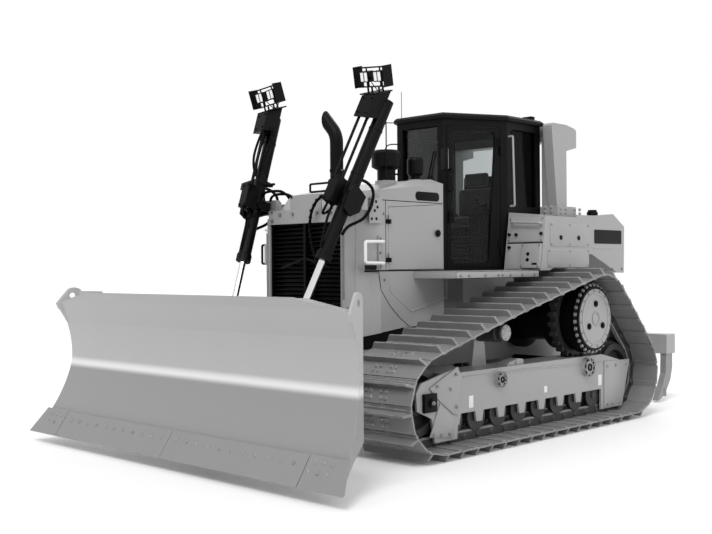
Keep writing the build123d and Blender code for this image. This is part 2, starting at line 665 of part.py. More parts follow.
ROPS_X = (-1440.0, -1250.0)
ROPS_Y = (610.0, 802.0)
ROPS_TOP = 3145.0
ROPS_FLARE = -1157.0                # the outer half of a post widens forward to this at its top
FOOT_Y = (605.0, 870.0)
FOOT_HEIGHT = 100.0
with BuildPart() as rops:
    for side in (1, -1):
        low, high = sorted((side * ROPS_Y[0], side * ROPS_Y[1]))
        slab(ROPS_X, (low, high), (TANK_SEAT + SEAT, ROPS_TOP))
        shoulder = sorted((side * (SIDE_BOX_IN + 40), side * ROPS_Y[1]))
        side_profile(
            [(ROPS_X[1], 2230), (ROPS_FLARE, 3090), (ROPS_FLARE, ROPS_TOP - 25), (ROPS_FLARE - 25, ROPS_TOP),
             (ROPS_X[1], ROPS_TOP)],
            shoulder,
        )
        slab(
            (SIDE_BOX_X[0] - 68, CAB_REAR[0] - 15), tuple(sorted((side * FOOT_Y[0], side * FOOT_Y[1]))),
            (TANK_SEAT + SEAT, TANK_SEAT + FOOT_HEIGHT),
        )
        slab(
            (CAB_REAR[0] - 20, FOOT_FRONT), tuple(sorted((side * SIDE_BOX_IN, side * FOOT_Y[1]))),
            (TANK_SEAT + SEAT, TANK_SEAT + FOOT_HEIGHT),
        )
        side_profile(
            [(ROPS_X[0], 2860), (-1640, 2910), (-1640, 3100), (-1590, 3120), (ROPS_X[0], ROPS_TOP)],
            (low, high)
        )
    slab(ROPS_X, (-ROPS_Y[0], ROPS_Y[0]), (2960, ROPS_TOP))
finish(rops, "rops")

# ---------------------------------------------------------------- cab
CAB_PLAN = mirrored([CAB_FRONT, CAB_MIDDLE, CAB_REAR])
FACE_LENGTH = hypot(CAB_FRONT[0] - CAB_MIDDLE[0], CAB_FRONT[1] - CAB_MIDDLE[1])
FACE_DIR = ((CAB_MIDDLE[0] - CAB_FRONT[0]) / FACE_LENGTH, (CAB_MIDDLE[1] - CAB_FRONT[1]) / FACE_LENGTH)
FACE_OUT = (FACE_DIR[1], -FACE_DIR[0])
DOOR_PLANE = Plane(
    origin=((CAB_FRONT[0] + CAB_MIDDLE[0]) / 2, (CAB_FRONT[1] + CAB_MIDDLE[1]) / 2, 0),
    x_dir=(*FACE_DIR, 0), z_dir=(*FACE_OUT, 0),
)
CAB_DOOR_U = (-325.0, 285.0)        # front and rear edge of the doorway along the angled face
CAB_DOOR_Z = (1602.0, 3050.0)


DOOR_MIDDLE = (sum(CAB_DOOR_U) / 2, sum(CAB_DOOR_Z) / 2)


def on_face(sketch_centre, width, height, w_low, w_high, mode=Mode.ADD):
    """A block on the cab's angled face: centre (along, height), and its span outwards."""
    with BuildSketch(DOOR_PLANE.offset(w_low)) as block:
        with Locations(sketch_centre):
            Rectangle(width, height)
    extrude(block.sketch, amount=w_high - w_low, mode=mode)


with BuildPart() as left_opening:
    on_face(DOOR_MIDDLE, CAB_DOOR_U[1] - CAB_DOOR_U[0], CAB_DOOR_Z[1] - CAB_DOOR_Z[0], -CAB_WALL - 60, 60)

with BuildPart() as cab_shell:
    plan_profile(CAB_PLAN, (CAB_FLOOR, CAB_TOP))
    with BuildSketch(Plane.XY.offset(CAB_FLOOR + 40)) as room:
        with BuildLine():
            Polyline(*CAB_PLAN, close=True)
        make_face()
        offset(amount=-CAB_WALL, kind=Kind.INTERSECTION)
    extrude(room.sketch, amount=CAB_TOP - CAB_FLOOR, mode=Mode.SUBTRACT)
    slab((0, 100), (-235, 235), (2030, 3050), Mode.SUBTRACT)
    slab((-1200, -1100), (-520, 520), (2050, 3040), Mode.SUBTRACT)
    slab((-1100, -650), (-700, 700), (2240, 3040), Mode.SUBTRACT)
    add(left_opening.part, mode=Mode.SUBTRACT)
    mirror(left_opening.part, about=Plane.XZ, mode=Mode.SUBTRACT)
    with BuildSketch(Plane.XY.offset(CAB_TOP)) as lid:
        with BuildLine():
            Polyline(*CAB_PLAN, close=True)
        make_face()
        offset(amount=30, kind=Kind.INTERSECTION)
    extrude(lid.sketch, amount=58)
    chamfer(cab_shell.faces().sort_by(Axis.Z)[-1].edges(), 25)
finish(cab_shell, "cab_shell")

GLASS = 8.0
with BuildPart() as cab_glass:
    slab((30, 30 + GLASS), (-235, 235), (2030, 3050))
    slab((-1150, -1150 + GLASS), (-520, 520), (2050, 3040))
    slab((-1100, -650), (600, 600 + GLASS), (2240, 3040))
    slab((-1100, -650), (-600 - GLASS, -600), (2240, 3040))
finish(cab_glass, "cab_glass")

DOOR_THICK = 45.0
DOOR_GAP = 5.0
DOOR_STILE = 49.0                   # doorway's edge to the glass
LOCK_STILE = 140.0                  # the hinge stile is wider than that by up to this at its foot
PANE_CORNER = 55.0


def door_pane(depth, thickness, mode=Mode.ADD):
    """The door's window, from depth behind the face: narrower at its foot, with round corners."""
    with BuildSketch(DOOR_PLANE.offset(-depth)) as pane:
        with BuildLine():
            Polyline(
                (CAB_DOOR_U[0] + DOOR_STILE, CAB_DOOR_Z[0] + DOOR_STILE),
                (CAB_DOOR_U[1] - LOCK_STILE, CAB_DOOR_Z[0] + DOOR_STILE),
                (CAB_DOOR_U[1] - DOOR_STILE, CAB_DOOR_Z[1] - DOOR_STILE),
                (CAB_DOOR_U[0] + DOOR_STILE, CAB_DOOR_Z[1] - DOOR_STILE),
                close=True,
            )
        make_face()
        fillet(pane.vertices(), PANE_CORNER)
    extrude(pane.sketch, amount=thickness, mode=mode)


with BuildPart() as cab_door:
    on_face(
        DOOR_MIDDLE, CAB_DOOR_U[1] - CAB_DOOR_U[0] - 2 * DOOR_GAP,
        CAB_DOOR_Z[1] - CAB_DOOR_Z[0] - 2 * DOOR_GAP,
        -DOOR_THICK, 0,
    )
    door_pane(DOOR_THICK + 5, DOOR_THICK + 10, Mode.SUBTRACT)
    for z in (1800.0, 2850.0):
        on_face((CAB_DOOR_U[1] - 19, z + 40), 26, 80, 0, 14)
        with BuildSketch(Plane(origin=DOOR_PLANE.from_local_coords((CAB_DOOR_U[1], z, 16)),
            z_dir=(0, 0, 1))) as pin:
            Circle(HINGE_R)
        extrude(pin.sketch, amount=80)
finish_pair(cab_door, "cab_door")

# Door glass and the fixed half of each cab hinge.
with BuildPart() as door_glass:
    door_pane(30, GLASS)
finish_pair(door_glass, "door_glass")

with BuildPart() as left_hinge:
    for z in (1800.0, 2850.0):
        with BuildSketch(
            Plane(origin=DOOR_PLANE.from_local_coords((CAB_DOOR_U[1], z - 80 - SEAT, 16)), z_dir=(0, 0, 1))
        ) as pin:
            Circle(HINGE_R)
        extrude(pin.sketch, amount=80)
        on_face((CAB_DOOR_U[1] + 18, z - 40 - SEAT), 30, 80, 0, 14)
with BuildPart() as hinges:
    add(left_hinge.part)
    mirror(left_hinge.part, about=Plane.XZ)
    add(door_hinges.part)
finish(hinges, "hinges")

with BuildPart() as seat:
    slab((-760, -500), (-170, 170), (CAB_FLOOR + 40, CAB_FLOOR + 330))
    slab((-880, -380), (-240, 240), (CAB_FLOOR + 330, CAB_FLOOR + 450))
    side_profile(
        [(-830, CAB_FLOOR + 450), (-730, CAB_FLOOR + 450), (-860, 2640), (-940, 2640), (-945, 2600)],
        (-230, 230)
    )
finish(seat, "seat")

with BuildPart() as console:
    for side in (1, -1):
        low, high = sorted((side * 270, side * 400))
        side_profile(
            [(-900, CAB_FLOOR + 40), (-420, CAB_FLOOR + 40), (-400, 2150), (-460, 2230), (-900, 2200)],
            (low, high)
        )
        rod((-470, side * 335, 2200), (-455, side * 335, 2330), 22)
    slab((-60, 10), (-220, 220), (CAB_FLOOR + 40, 2010))
finish(console, "console")

# ---------------------------------------------------------------- blade frame and swivel
FORK_R = 100.0
FORK_PLATE = 40.0
SWIVEL_PIN_R = 60.0
with BuildPart() as blade_frame:
    x, z = LIFT_PIVOT
    inner, outer = ARM_Y
    for side in (1, -1):
        plan_profile(
            [
                (x - 60, side * inner), (2030, side * inner), (2490, side * 170), (2490, 0), (2600, 0),
                (2600, side * 190), (2090, side * outer), (x - 60, side * outer),
            ],
            ARM_Z,
        )
        rod((x, side * inner, z), (x, side * outer, z), 110)
        # Lug beside the lift rod's eye, and the base lug of the angle cylinder.
        ex, ey, ez = LIFT_EYE
        low, high = sorted((side * (ey - 106), side * (ey - 46)))
        side_profile(
            [(ex - 130, ARM_Z[0] + 20), (ex + 150, ARM_Z[0] + 20), (ex + 60, ez + 40), (ex + 30, ez + 62),
             (ex - 30, ez + 62), (ex - 60, ez + 40)],
            (low, high),
        )
        ax, ay, az = ANGLE_BASE
        for low in (az - 76, az + 44):
            plan_profile(
                [(ax - 90, side * (ay - 48)), (ax + 20, side * (ay - 38)), (ax + 20, side * (ay + 38)),
                 (ax - 90, side * (ay + 48))],
                (low, low + 32),
            )
        slab((ax - 120, ax - 70), tuple(sorted((side * (ay - 48), side * (ay + 48)))),
            (ARM_Z[1] - 10, az + 76))
    for low in (BLADE_PIVOT_Z - 130, BLADE_PIVOT_Z + 90):
        plan_profile(
            [(2500, -150), (ANGLE_PIVOT_X, -FORK_R), (ANGLE_PIVOT_X, FORK_R), (2500, 150)],
            (low, low + FORK_PLATE)
        )
        rod((ANGLE_PIVOT_X, 0, low), (ANGLE_PIVOT_X, 0, low + FORK_PLATE), FORK_R)
    rod((ANGLE_PIVOT_X, 0, BLADE_PIVOT_Z - 130), (ANGLE_PIVOT_X, 0, BLADE_PIVOT_Z + 130), SWIVEL_PIN_R)
    slab((2600 - 20, 2600), (-150, 150), (BLADE_PIVOT_Z - 130, BLADE_PIVOT_Z - 90))
    for side in (1, -1):
        rod((x, side * (ARM_Y[0] - 5), z), (x, side * (ARM_Y[1] + 5), z), SWIVEL_PIN_R + RUNNING,
            Mode.SUBTRACT)
finish(blade_frame, "blade_frame")

TOWER_X = (2815.0, 2865.0)
TILT_Z = 960.0
STUB_R = 65.0
SOCKET_X = (2870.0, 2992.0)
SHELF_DROP = 80.0                   # angle cylinder's eye to the shelf under it
with BuildPart() as swivel:
    z0, z1 = BLADE_PIVOT_Z - 90 + 1, BLADE_PIVOT_Z + 90 - 1
    rod((ANGLE_PIVOT_X, 0, z0), (ANGLE_PIVOT_X, 0, z1), 96)
    slab((ANGLE_PIVOT_X, TOWER_X[1]), (-70, 70), (z0, z1))
    cross_profile([(-90, z0), (90, z0), (70, 820), (-70, 820)], TOWER_X)
    for x in ((TOWER_X[0] - 25, TOWER_X[0] - 3), (TOWER_X[1] + 3, TOWER_X[1] + 25)):
        cross_profile([(-70, 780), (70, 780), (60, 980), (35, 1010), (-35, 1010), (-60, 980)], x)
    slab((TOWER_X[0] - 25, TOWER_X[1] + 25), (-70, 70), (780, 850))
    rod((TOWER_X[1], 0, BLADE_PIVOT_Z), (SOCKET_X[1] - 12, 0, BLADE_PIVOT_Z), STUB_R)
    rod((ANGLE_PIVOT_X, 0, z0 - 5), (ANGLE_PIVOT_X, 0, z1 + 5), SWIVEL_PIN_R + RUNNING, Mode.SUBTRACT)
finish(swivel, "swivel")

# ---------------------------------------------------------------- blade
EDGE = (3335.0, 99.0)               # lowest point of the cutting edge, x and z
EDGE_TOP = (3192.0, 307.0)          # top of the cutting edge's front face
EDGE_THICK = 30.0
EDGE_RISE = hypot(EDGE_TOP[0] - EDGE[0], EDGE_TOP[1] - EDGE[1])
EDGE_BACK = ((EDGE[1] - EDGE_TOP[1]) / EDGE_RISE, (EDGE_TOP[0] - EDGE[0]) / EDGE_RISE)
CREASE = (2990.0, 741.0)            # where the lower and upper face plates meet
BLADE_TOP = (3159.0, 1405.0)
LOWER_R = 1512.0
UPPER_R = 1089.0
SKIN = 22.0
BLADE_BACK = 2907.0                 # rear edge of the end plates
BLADE_HALF = 1900.0                 # half width at the crease, outside the end plates
FLARE = 0.43                        # the ends open by this much for each step forward
END_PLATE = 30.0
TOP_FLAT = 1388.0                   # half length of the level part of the top edge
CORNER_HALF = 1960.0
TOP_CORNER_Z = 1297.0
CORNER_X = 3124.0
BLADE_REACH = 2150.0                # beyond the blade's half width everywhere
CENTRE_EDGE = 1614.0                # half length of the two centre edge pieces
END_BIT = 1622.0                    # inner end of an end bit
END_BIT_HALF = 2080.0               # half width over the end bits at their lowest corners
END_BIT_FLARE = 0.63
LIFT_HOLE = (2984.0, 1368.0)
LIFT_HOLE_R = 26.0


def edge_point(share, depth):
    """A point of the edge's side view: share of its height, and depth behind its front face."""
    return (
        EDGE[0] + share * (EDGE_TOP[0] - EDGE[0]) + depth * EDGE_BACK[0],
        EDGE[1] + share * (EDGE_TOP[1] - EDGE[1]) + depth * EDGE_BACK[1],
    )


def arc_centre(low, high, radius):
    """Centre, in front of the blade, of the arc between two points of its face."""
    half = hypot(high[0] - low[0], high[1] - low[1]) / 2
    reach = sqrt(radius**2 - half**2) / (2 * half)
    return (
        (low[0] + high[0]) / 2 + reach * (high[1] - low[1]),
        (low[1] + high[1]) / 2 - reach * (high[0] - low[0]),
    )


FOOT = edge_point(1, EDGE_THICK + SEAT)
FOOT_LOW = edge_point(0.3, EDGE_THICK + SEAT)
BACK_FOOT = edge_point(1, EDGE_THICK + SKIN)
BACK_LOW = edge_point(0.3, EDGE_THICK + SKIN)
LOWER_CENTRE = arc_centre(FOOT, CREASE, LOWER_R)
UPPER_CENTRE = arc_centre(CREASE, BLADE_TOP, UPPER_R)


def face(z, depth=0.0):
    """A point of the blade's side view at a height, and a depth behind its front face."""
    centre, radius = (LOWER_CENTRE, LOWER_R) if z < CREASE[1] else (UPPER_CENTRE, UPPER_R)
    return centre[0] - sqrt(radius**2 - (z - centre[1]) ** 2) - depth, z


def half_width(x):
    """Half width of the blade at a station along the machine."""
    return BLADE_HALF + FLARE * (x - CREASE[0])


def end_strip(side, inside, outside, mode):
    """A vertical strip along one flared end, between two distances in from its outer face."""
    stretch = hypot(1, FLARE)
    ends = (BLADE_BACK - 100, EDGE[0] + 100)
    outline = [(x, side * (half_width(x) - inside * stretch)) for x in ends]
    outline += [(x, side * (half_width(x) - outside * stretch)) for x in reversed(ends)]
    plan_profile(outline, (0, 1600), mode)


def end_plates(side):
    """One end plate, with the lifting eye that stands on its upper edge."""
    hole_x, hole_z = LIFT_HOLE
    with BuildPart() as plate:
        low, high = sorted((side * (BLADE_HALF - 150), side * BLADE_REACH))
        with BuildSketch(Plane.XZ.offset(-high)) as outline:
            with BuildLine():
                ThreePointArc(FOOT, face(540), CREASE)
                ThreePointArc(CREASE, face(950), face(1110))
                Polyline(
                    face(1110), (CORNER_X, TOP_CORNER_Z), (CORNER_X - 60, TOP_CORNER_Z), (BLADE_BACK, 1250),
                    (BLADE_BACK, 383), (3091, 279), (3236, 167), edge_point(0.15, EDGE_THICK + SKIN),
                    edge_point(0.15, EDGE_THICK + SEAT), FOOT,
                )
            make_face()
        extrude(outline.sketch, amount=high - low)
        with BuildSketch(Plane.XZ.offset(-high)) as eye:
            with BuildLine():
                Polyline((BLADE_BACK, 1240), (CORNER_X - 20, 1240), (CORNER_X, TOP_CORNER_Z),
                    (hole_x + 42, hole_z + 58))
                ThreePointArc(
                    (hole_x + 42, hole_z + 58), (hole_x - 12, hole_z + 76), (BLADE_BACK, hole_z + 14)
                )
                Line((BLADE_BACK, hole_z + 14), (BLADE_BACK, 1240))
            make_face()
        extrude(eye.sketch, amount=high - low)
        end_strip(side, END_PLATE, 0, Mode.INTERSECT)
    add(plate.part)


def across(outline, half):
    """A closed outline of (x, z) right across the blade."""
    side_profile(outline, (-half, half))


with BuildPart() as moldboard:
    with BuildSketch(Plane.XZ.offset(BLADE_REACH)) as skin:
        with BuildLine():
            crease_back, top_back = (CREASE[0] - SKIN, CREASE[1]), (BLADE_TOP[0] - SKIN, BLADE_TOP[1])
            Polyline(FOOT, FOOT_LOW, BACK_LOW, BACK_FOOT)
            ThreePointArc(BACK_FOOT, face(520, SKIN), crease_back)
            ThreePointArc(crease_back, face(1100, SKIN), top_back)
            Line(top_back, BLADE_TOP)
            ThreePointArc(BLADE_TOP, face(1100), CREASE)
            ThreePointArc(CREASE, face(520), FOOT)
        make_face()
    extrude(skin.sketch, amount=-2 * BLADE_REACH)
    # Torque boxes behind the skin, and ribs between them.
    across([face(390, 12), face(560, 12), (BLADE_BACK + 11, 560), (BLADE_BACK + 11, 440),
        (BLADE_BACK + 50, 400)], BLADE_REACH)
    across([face(1040, 12), face(1395, 12), face(1395, 105), (BLADE_BACK + 33, 1200),
        (BLADE_BACK + 33, 1060)], BLADE_REACH)
    for side in (1, -1):
        end_strip(side, 0, -600, Mode.SUBTRACT)
        # The top edge falls away towards each end.
        cross_profile(
            [(side * TOP_FLAT, BLADE_TOP[1]), (side * CORNER_HALF, TOP_CORNER_Z),
                (side * BLADE_REACH, TOP_CORNER_Z - 40),
             (side * BLADE_REACH, 1500), (side * TOP_FLAT, 1500)],
            (BLADE_BACK - 20, EDGE[0]), Mode.SUBTRACT,
        )
        end_plates(side)
        for y in (240, 560, 900, 1300, 1660):
            low, high = sorted((side * y, side * (y + 25)))
            side_profile(
                [face(550, 12), face(CREASE[1], 12), face(1050, 12), (BLADE_BACK + 33, 1065),
                    (BLADE_BACK + 11, 550)],
                (low, high),
            )
        rod(
            (LIFT_HOLE[0] + 40, side * (half_width(LIFT_HOLE[0]) - 40 / FLARE), LIFT_HOLE[1]),
            (LIFT_HOLE[0] - 40, side * (half_width(LIFT_HOLE[0]) + 40 / FLARE), LIFT_HOLE[1]),
            LIFT_HOLE_R, Mode.SUBTRACT,
        )
    # Guard bar on the right half of the top edge.
    slab((BLADE_TOP[0] - 60, BLADE_TOP[0] - 52), (-1560, -1180), (BLADE_TOP[1] - 40, BLADE_TOP[1] + 12))
    # Centre socket on the swivel's stub.
    slab(SOCKET_X, (-150, 150), (BLADE_PIVOT_Z - 120, BLADE_PIVOT_Z + 120))
    across([(SOCKET_X[0] + 10, 440), face(440, 12), face(480, 12), (SOCKET_X[0] + 10, 480)], 150)
    across([(SOCKET_X[0] + 60, 640), face(640, 12), face(680, 12), (SOCKET_X[0] + 60, 680)], 150)
    rod((SOCKET_X[0] - 5, 0, BLADE_PIVOT_Z), (SOCKET_X[1] - 8, 0, BLADE_PIVOT_Z), STUB_R + RUNNING,
        Mode.SUBTRACT)
    # Shelves under the angle cylinders' eyes on gussets, and the tilt cylinder's bracket.
    ax, ay, az = ANGLE_EYE
    shelf_z = az - SHELF_DROP
    for side in (1, -1):
        plan_profile(
            [(ax - 50, side * (ay - 50)), (ax + 70, side * (ay - 110)),
                (face(shelf_z, 12)[0], side * (ay - 110)),
             (face(shelf_z, 12)[0], side * (ay + 110)), (ax + 70, side * (ay + 110)),
             (ax - 50, side * (ay + 50))],
            (shelf_z - 28, shelf_z),
        )
        for y in (ay - 60, ay + 35):
            low, high = sorted((side * y, side * (y + 25)))
            side_profile([(ax - 20, shelf_z - 20), (ax + 60, 555), face(555, 12), face(shelf_z - 20, 12)],
                (low, high))
    slab((TOWER_X[0] - 25, TOWER_X[0] - 3), (-690, -560), (TILT_Z - 60, TILT_Z + 60))
    slab((TOWER_X[1] + 3, TOWER_X[1] + 25), (-690, -560), (TILT_Z - 60, TILT_Z + 60))
    slab((TOWER_X[0] - 25, face(TILT_Z, 12)[0]), (-720, -690), (TILT_Z - 60, TILT_Z + 60))
finish(moldboard, "moldboard")

# Cutting edge in two halves with a taller, flared end bit at each end.
with BuildPart() as cutting_edge:
    for low, high in ((-CENTRE_EDGE, -3), (3, CENTRE_EDGE)):
        side_profile([EDGE, edge_point(1, 0), edge_point(1, EDGE_THICK), edge_point(0.12, EDGE_THICK)],
            (low, high))
    for side in (1, -1):
        low, high = sorted((side * END_BIT, side * BLADE_REACH))
        side_profile(
            [EDGE, edge_point(1.02, 0), edge_point(1.02, EDGE_THICK - 2), edge_point(1, EDGE_THICK),
             edge_point(0.12, EDGE_THICK)],
            (low, high),
        )
        plan_profile(
            [(EDGE[0] + 100, side * (END_BIT_HALF + 100 * END_BIT_FLARE)),
                (EDGE[0] + 100, side * 2 * END_BIT_HALF),
             (EDGE[0] - 300, side * 2 * END_BIT_HALF), (EDGE[0] - 300,
                 side * (END_BIT_HALF - 300 * END_BIT_FLARE))],
            (0, 500), Mode.SUBTRACT,
        )
finish(cutting_edge, "cutting_edge")

# ---------------------------------------------------------------- lift cylinders
EYE = Vector(*LIFT_EYE)
TRUNNION = Vector(*LIFT_TRUNNION)
LIFT_DIR = (EYE - TRUNNION).normalized()
LIFT_LENGTH = (EYE - TRUNNION).length
PITCH_AXIS = Vector(1, 0, 0).cross(LIFT_DIR).normalized()
LIFT_PLANE = Plane(origin=TRUNNION, x_dir=PITCH_AXIS, z_dir=LIFT_DIR)      # z runs down to the rod's eye
BARREL_TOP = -975.0
BARREL_FOOT = 571.0
YOKE_IN = 73.0
HEAD_X = (-120.0, 28.0)
HEAD_Y = (30.0, 198.0)
HEAD_FOOT = -712.0
LAMP = (1568.0, 707.0, 3290.0)
LAMP_DIP = radians(15)              # the lamps look down by this
LAMP_LEAN = radians(5.5)            # and their frame leans outwards by this
LAMP_PLANE = Plane(
    origin=LAMP, x_dir=(0, cos(LAMP_LEAN), -sin(LAMP_LEAN)),
    z_dir=(cos(LAMP_DIP), -sin(LAMP_DIP) * sin(LAMP_LEAN), -sin(LAMP_DIP) * cos(LAMP_LEAN)),
)
TABLE_Y = -150.0                    # underside of the lamps' plate, down from their centre
TUBES = ((-86, 163), (-31, 120))
TUBE_R = 13.0
PIN_R = 22.0

with BuildPart() as yoke_form:
    slab((-YOKE_IN - 22, YOKE_IN + 22), (-102, -80), (-60, 60))
    for side in (1, -1):
        low, high = sorted((side * YOKE_IN, side * (YOKE_IN + 22)))
        slab((low, high), (-100, 0), (-45, 45))
        rod((low, 0, 0), (high, 0, 0), 45)
    # Wide outer cheek over the trunnion's end.
    cross_profile([(-110, -95), (50, -140), (105, -60), (95, 100), (-20, 135), (-105, 60)],
        (YOKE_IN, YOKE_IN + 22))
    rod((-YOKE_IN - 30, 0, 0), (YOKE_IN + 30, 0, 0), PIN_R + RUNNING, Mode.SUBTRACT)
with BuildPart() as lift_yoke:
    with Locations(LIFT_PLANE.location):
        add(yoke_form.part)
    rod(TRUNNION - Vector(110, 0, 0), TRUNNION - Vector(195, 0, 0), 35)
finish_pair(lift_yoke, "lift_yoke")

with BuildPart() as barrel_form:
    rod((0, 0, BARREL_TOP), (0, 0, BARREL_FOOT), LIFT_BARREL_R)
    rod((0, 0, BARREL_FOOT - 60), (0, 0, BARREL_FOOT), LIFT_BARREL_R + 10)
    rod((0, 0, -45), (0, 0, 45), LIFT_BARREL_R + 10)
    rod((-YOKE_IN - 20, 0, 0), (YOKE_IN + 20, 0, 0), PIN_R)
    rod((0, 0, BARREL_TOP + 160), (0, 0, BARREL_FOOT - 50), LIFT_BORE_R, Mode.SUBTRACT)
    rod((0, 0, BARREL_FOOT - 60), (0, 0, BARREL_FOOT + 5), LIFT_ROD_R + RUNNING, Mode.SUBTRACT)
    # Head box round the barrel's top end, valve block at its front, and the two tubes between them.
    cross_profile([(HEAD_Y[0], -1120), (HEAD_Y[1], -1120), (HEAD_Y[1], HEAD_FOOT),
        (HEAD_Y[0], HEAD_FOOT - 75)], HEAD_X)
    slab((HEAD_X[0] + 25, HEAD_X[1] - 25), (HEAD_Y[0] + 50, HEAD_Y[1] - 5), (-150, 90))
    slab((-40, 0), (LIFT_BARREL_R - 8, HEAD_Y[0] + 55), (-40, 40))
    for x, y in TUBES:
        rod((x, y, HEAD_FOOT - 60), (x, y, -145), TUBE_R)
with BuildPart() as over_head:
    slab((-400, 400), (TABLE_Y - SEAT, TABLE_Y + 500), (-400, 400))
with BuildPart() as lift_barrel:
    with Locations(LIFT_PLANE.location):
        add(barrel_form.part)
    with Locations(LAMP_PLANE.location):
        add(over_head.part, mode=Mode.SUBTRACT)
finish_pair(lift_barrel, "lift_barrel")

ROD_BACK = LIFT_LENGTH - 1700.0
with BuildPart() as rod_form:
    rod((0, 0, ROD_BACK), (0, 0, ROD_BACK + 60), LIFT_BORE_R - RUNNING)
    rod((0, 0, ROD_BACK), (0, 0, LIFT_LENGTH - 30), LIFT_ROD_R)
    rod((-28, 0, LIFT_LENGTH), (28, 0, LIFT_LENGTH), 48)
    rod((-35, 0, LIFT_LENGTH), (35, 0, LIFT_LENGTH), 28)
with BuildPart() as lift_rod:
    with Locations(LIFT_PLANE.location):
        add(rod_form.part)
finish_pair(lift_rod, "lift_rod")

# Twin work lamps between two guard plates, aimed down and outwards, on posts over each head box.
LAMP_SPREAD = 80.0
LAMP_HALF = 50.0
LAMP_GUARD = 179.0
with BuildPart() as lamp_form:
    for side in (1, -1):
        low, high = sorted((side * (LAMP_GUARD - 6), side * LAMP_GUARD))
        slab((low, high), (-95, 92), (-88, 30))
        centre = side * LAMP_SPREAD
        slab((centre - LAMP_HALF, centre + LAMP_HALF), (-48, 48), (-75, 0))
        slab((centre - LAMP_HALF + 8, centre + LAMP_HALF - 8), (-40, 40), (-5, 5), Mode.SUBTRACT)
        slab((centre - 12, centre + 12), (-92, -45), (-50, -36))
        slab((centre - 6, centre + 6), (45, 80), (-44, -36))
    rod((-LAMP_GUARD + 2, 78, -40), (LAMP_GUARD - 2, 78, -40), 7)
    slab((-LAMP_GUARD + 2, LAMP_GUARD - 2), (-95, -87), (-80, -10))
    slab((-105, 105), (TABLE_Y, TABLE_Y + 12), (-150, 55))
    for x in (-65, 65):
        for z in (-70, -20):
            with BuildSketch(Plane.XZ.offset(-TABLE_Y - 10)) as post:
                with Locations((x, z)):
                    Circle(9)
            extrude(post.sketch, amount=TABLE_Y + 10 + 90)
with BuildPart() as lamps:
    with Locations(LAMP_PLANE.location):
        add(lamp_form.part)
finish_pair(lamps, "lamps")

# ---------------------------------------------------------------- angle cylinders
BASE = Vector(*ANGLE_BASE)
ANGLE_DIR = (Vector(*ANGLE_EYE) - BASE).normalized()
ANGLE_LENGTH = (Vector(*ANGLE_EYE) - BASE).length
SWING_AXIS = Vector(0, 0, 1).cross(ANGLE_DIR).normalized()
ANGLE_PLANE = Plane(origin=BASE, x_dir=SWING_AXIS, z_dir=ANGLE_DIR)
with BuildPart() as angle_pivot:
    rod((BASE.X, BASE.Y, BASE.Z - 44 + SEAT), (BASE.X, BASE.Y, BASE.Z + 44 - SEAT), 36)
    rod(BASE - SWING_AXIS * 62, BASE + SWING_AXIS * 62, 16)
finish_pair(angle_pivot, "angle_pivot")

with BuildPart() as barrel_form:
    for side in (1, -1):
        low, high = sorted((side * 40, side * 62))
        rod((low, 0, 0), (high, 0, 0), 30)
        slab((low, high), (-30, 30), (0, 80))
        rod((low - 5, 0, 0), (high + 5, 0, 0), 16 + RUNNING, Mode.SUBTRACT)
    slab((-62, 62), (-32, 32), (50, 85))
    rod((0, 0, 70), (0, 0, 850), 48)
    rod((0, 0, 100), (0, 0, 810), 38, Mode.SUBTRACT)
    rod((0, 0, 800), (0, 0, 860), 26 + RUNNING, Mode.SUBTRACT)
with BuildPart() as angle_barrel:
    with Locations(ANGLE_PLANE.location):
        add(barrel_form.part)
finish_pair(angle_barrel, "angle_barrel")

with BuildPart() as rod_form:
    rod((0, 0, ANGLE_LENGTH - 800), (0, 0, ANGLE_LENGTH - 750), 38 - RUNNING)
    rod((0, 0, ANGLE_LENGTH - 800), (0, 0, ANGLE_LENGTH - 20), 26)
    rod((0, -26, ANGLE_LENGTH), (0, 26, ANGLE_LENGTH), 42)
    rod((0, -34, ANGLE_LENGTH), (0, 34, ANGLE_LENGTH), 22)
with BuildPart() as angle_rod:
    with Locations(ANGLE_PLANE.location):
        add(rod_form.part)
finish_pair(angle_rod, "angle_rod")

# ---------------------------------------------------------------- tilt cylinder
TILT_X = sum(TOWER_X) / 2
TILT_BASE_Y = -625.0
with BuildPart() as tilt_barrel:
    rod((TOWER_X[0] - 3 + SEAT, TILT_BASE_Y, TILT_Z), (TOWER_X[1] + 3 - SEAT, TILT_BASE_Y, TILT_Z), 36)
    slab((TOWER_X[0] - 3 + SEAT, TOWER_X[1] + 3 - SEAT), (TILT_BASE_Y, -545), (TILT_Z - 30, TILT_Z + 30))
    rod((TILT_X, -550, TILT_Z), (TILT_X, -230, TILT_Z), 45)
    rod((TILT_X, -530, TILT_Z), (TILT_X, -260, TILT_Z), 36, Mode.SUBTRACT)
    rod((TILT_X, -270, TILT_Z), (TILT_X, -220, TILT_Z), 24 + RUNNING, Mode.SUBTRACT)
finish(tilt_barrel, "tilt_barrel")

with BuildPart() as tilt_rod:
    rod((TILT_X, -420, TILT_Z), (TILT_X, -380, TILT_Z), 36 - RUNNING)
    rod((TILT_X, -420, TILT_Z), (TILT_X, -20, TILT_Z), 24)
    rod((TILT_X - 22, 0, TILT_Z), (TILT_X + 22, 0, TILT_Z), 38)
finish(tilt_rod, "tilt_rod")

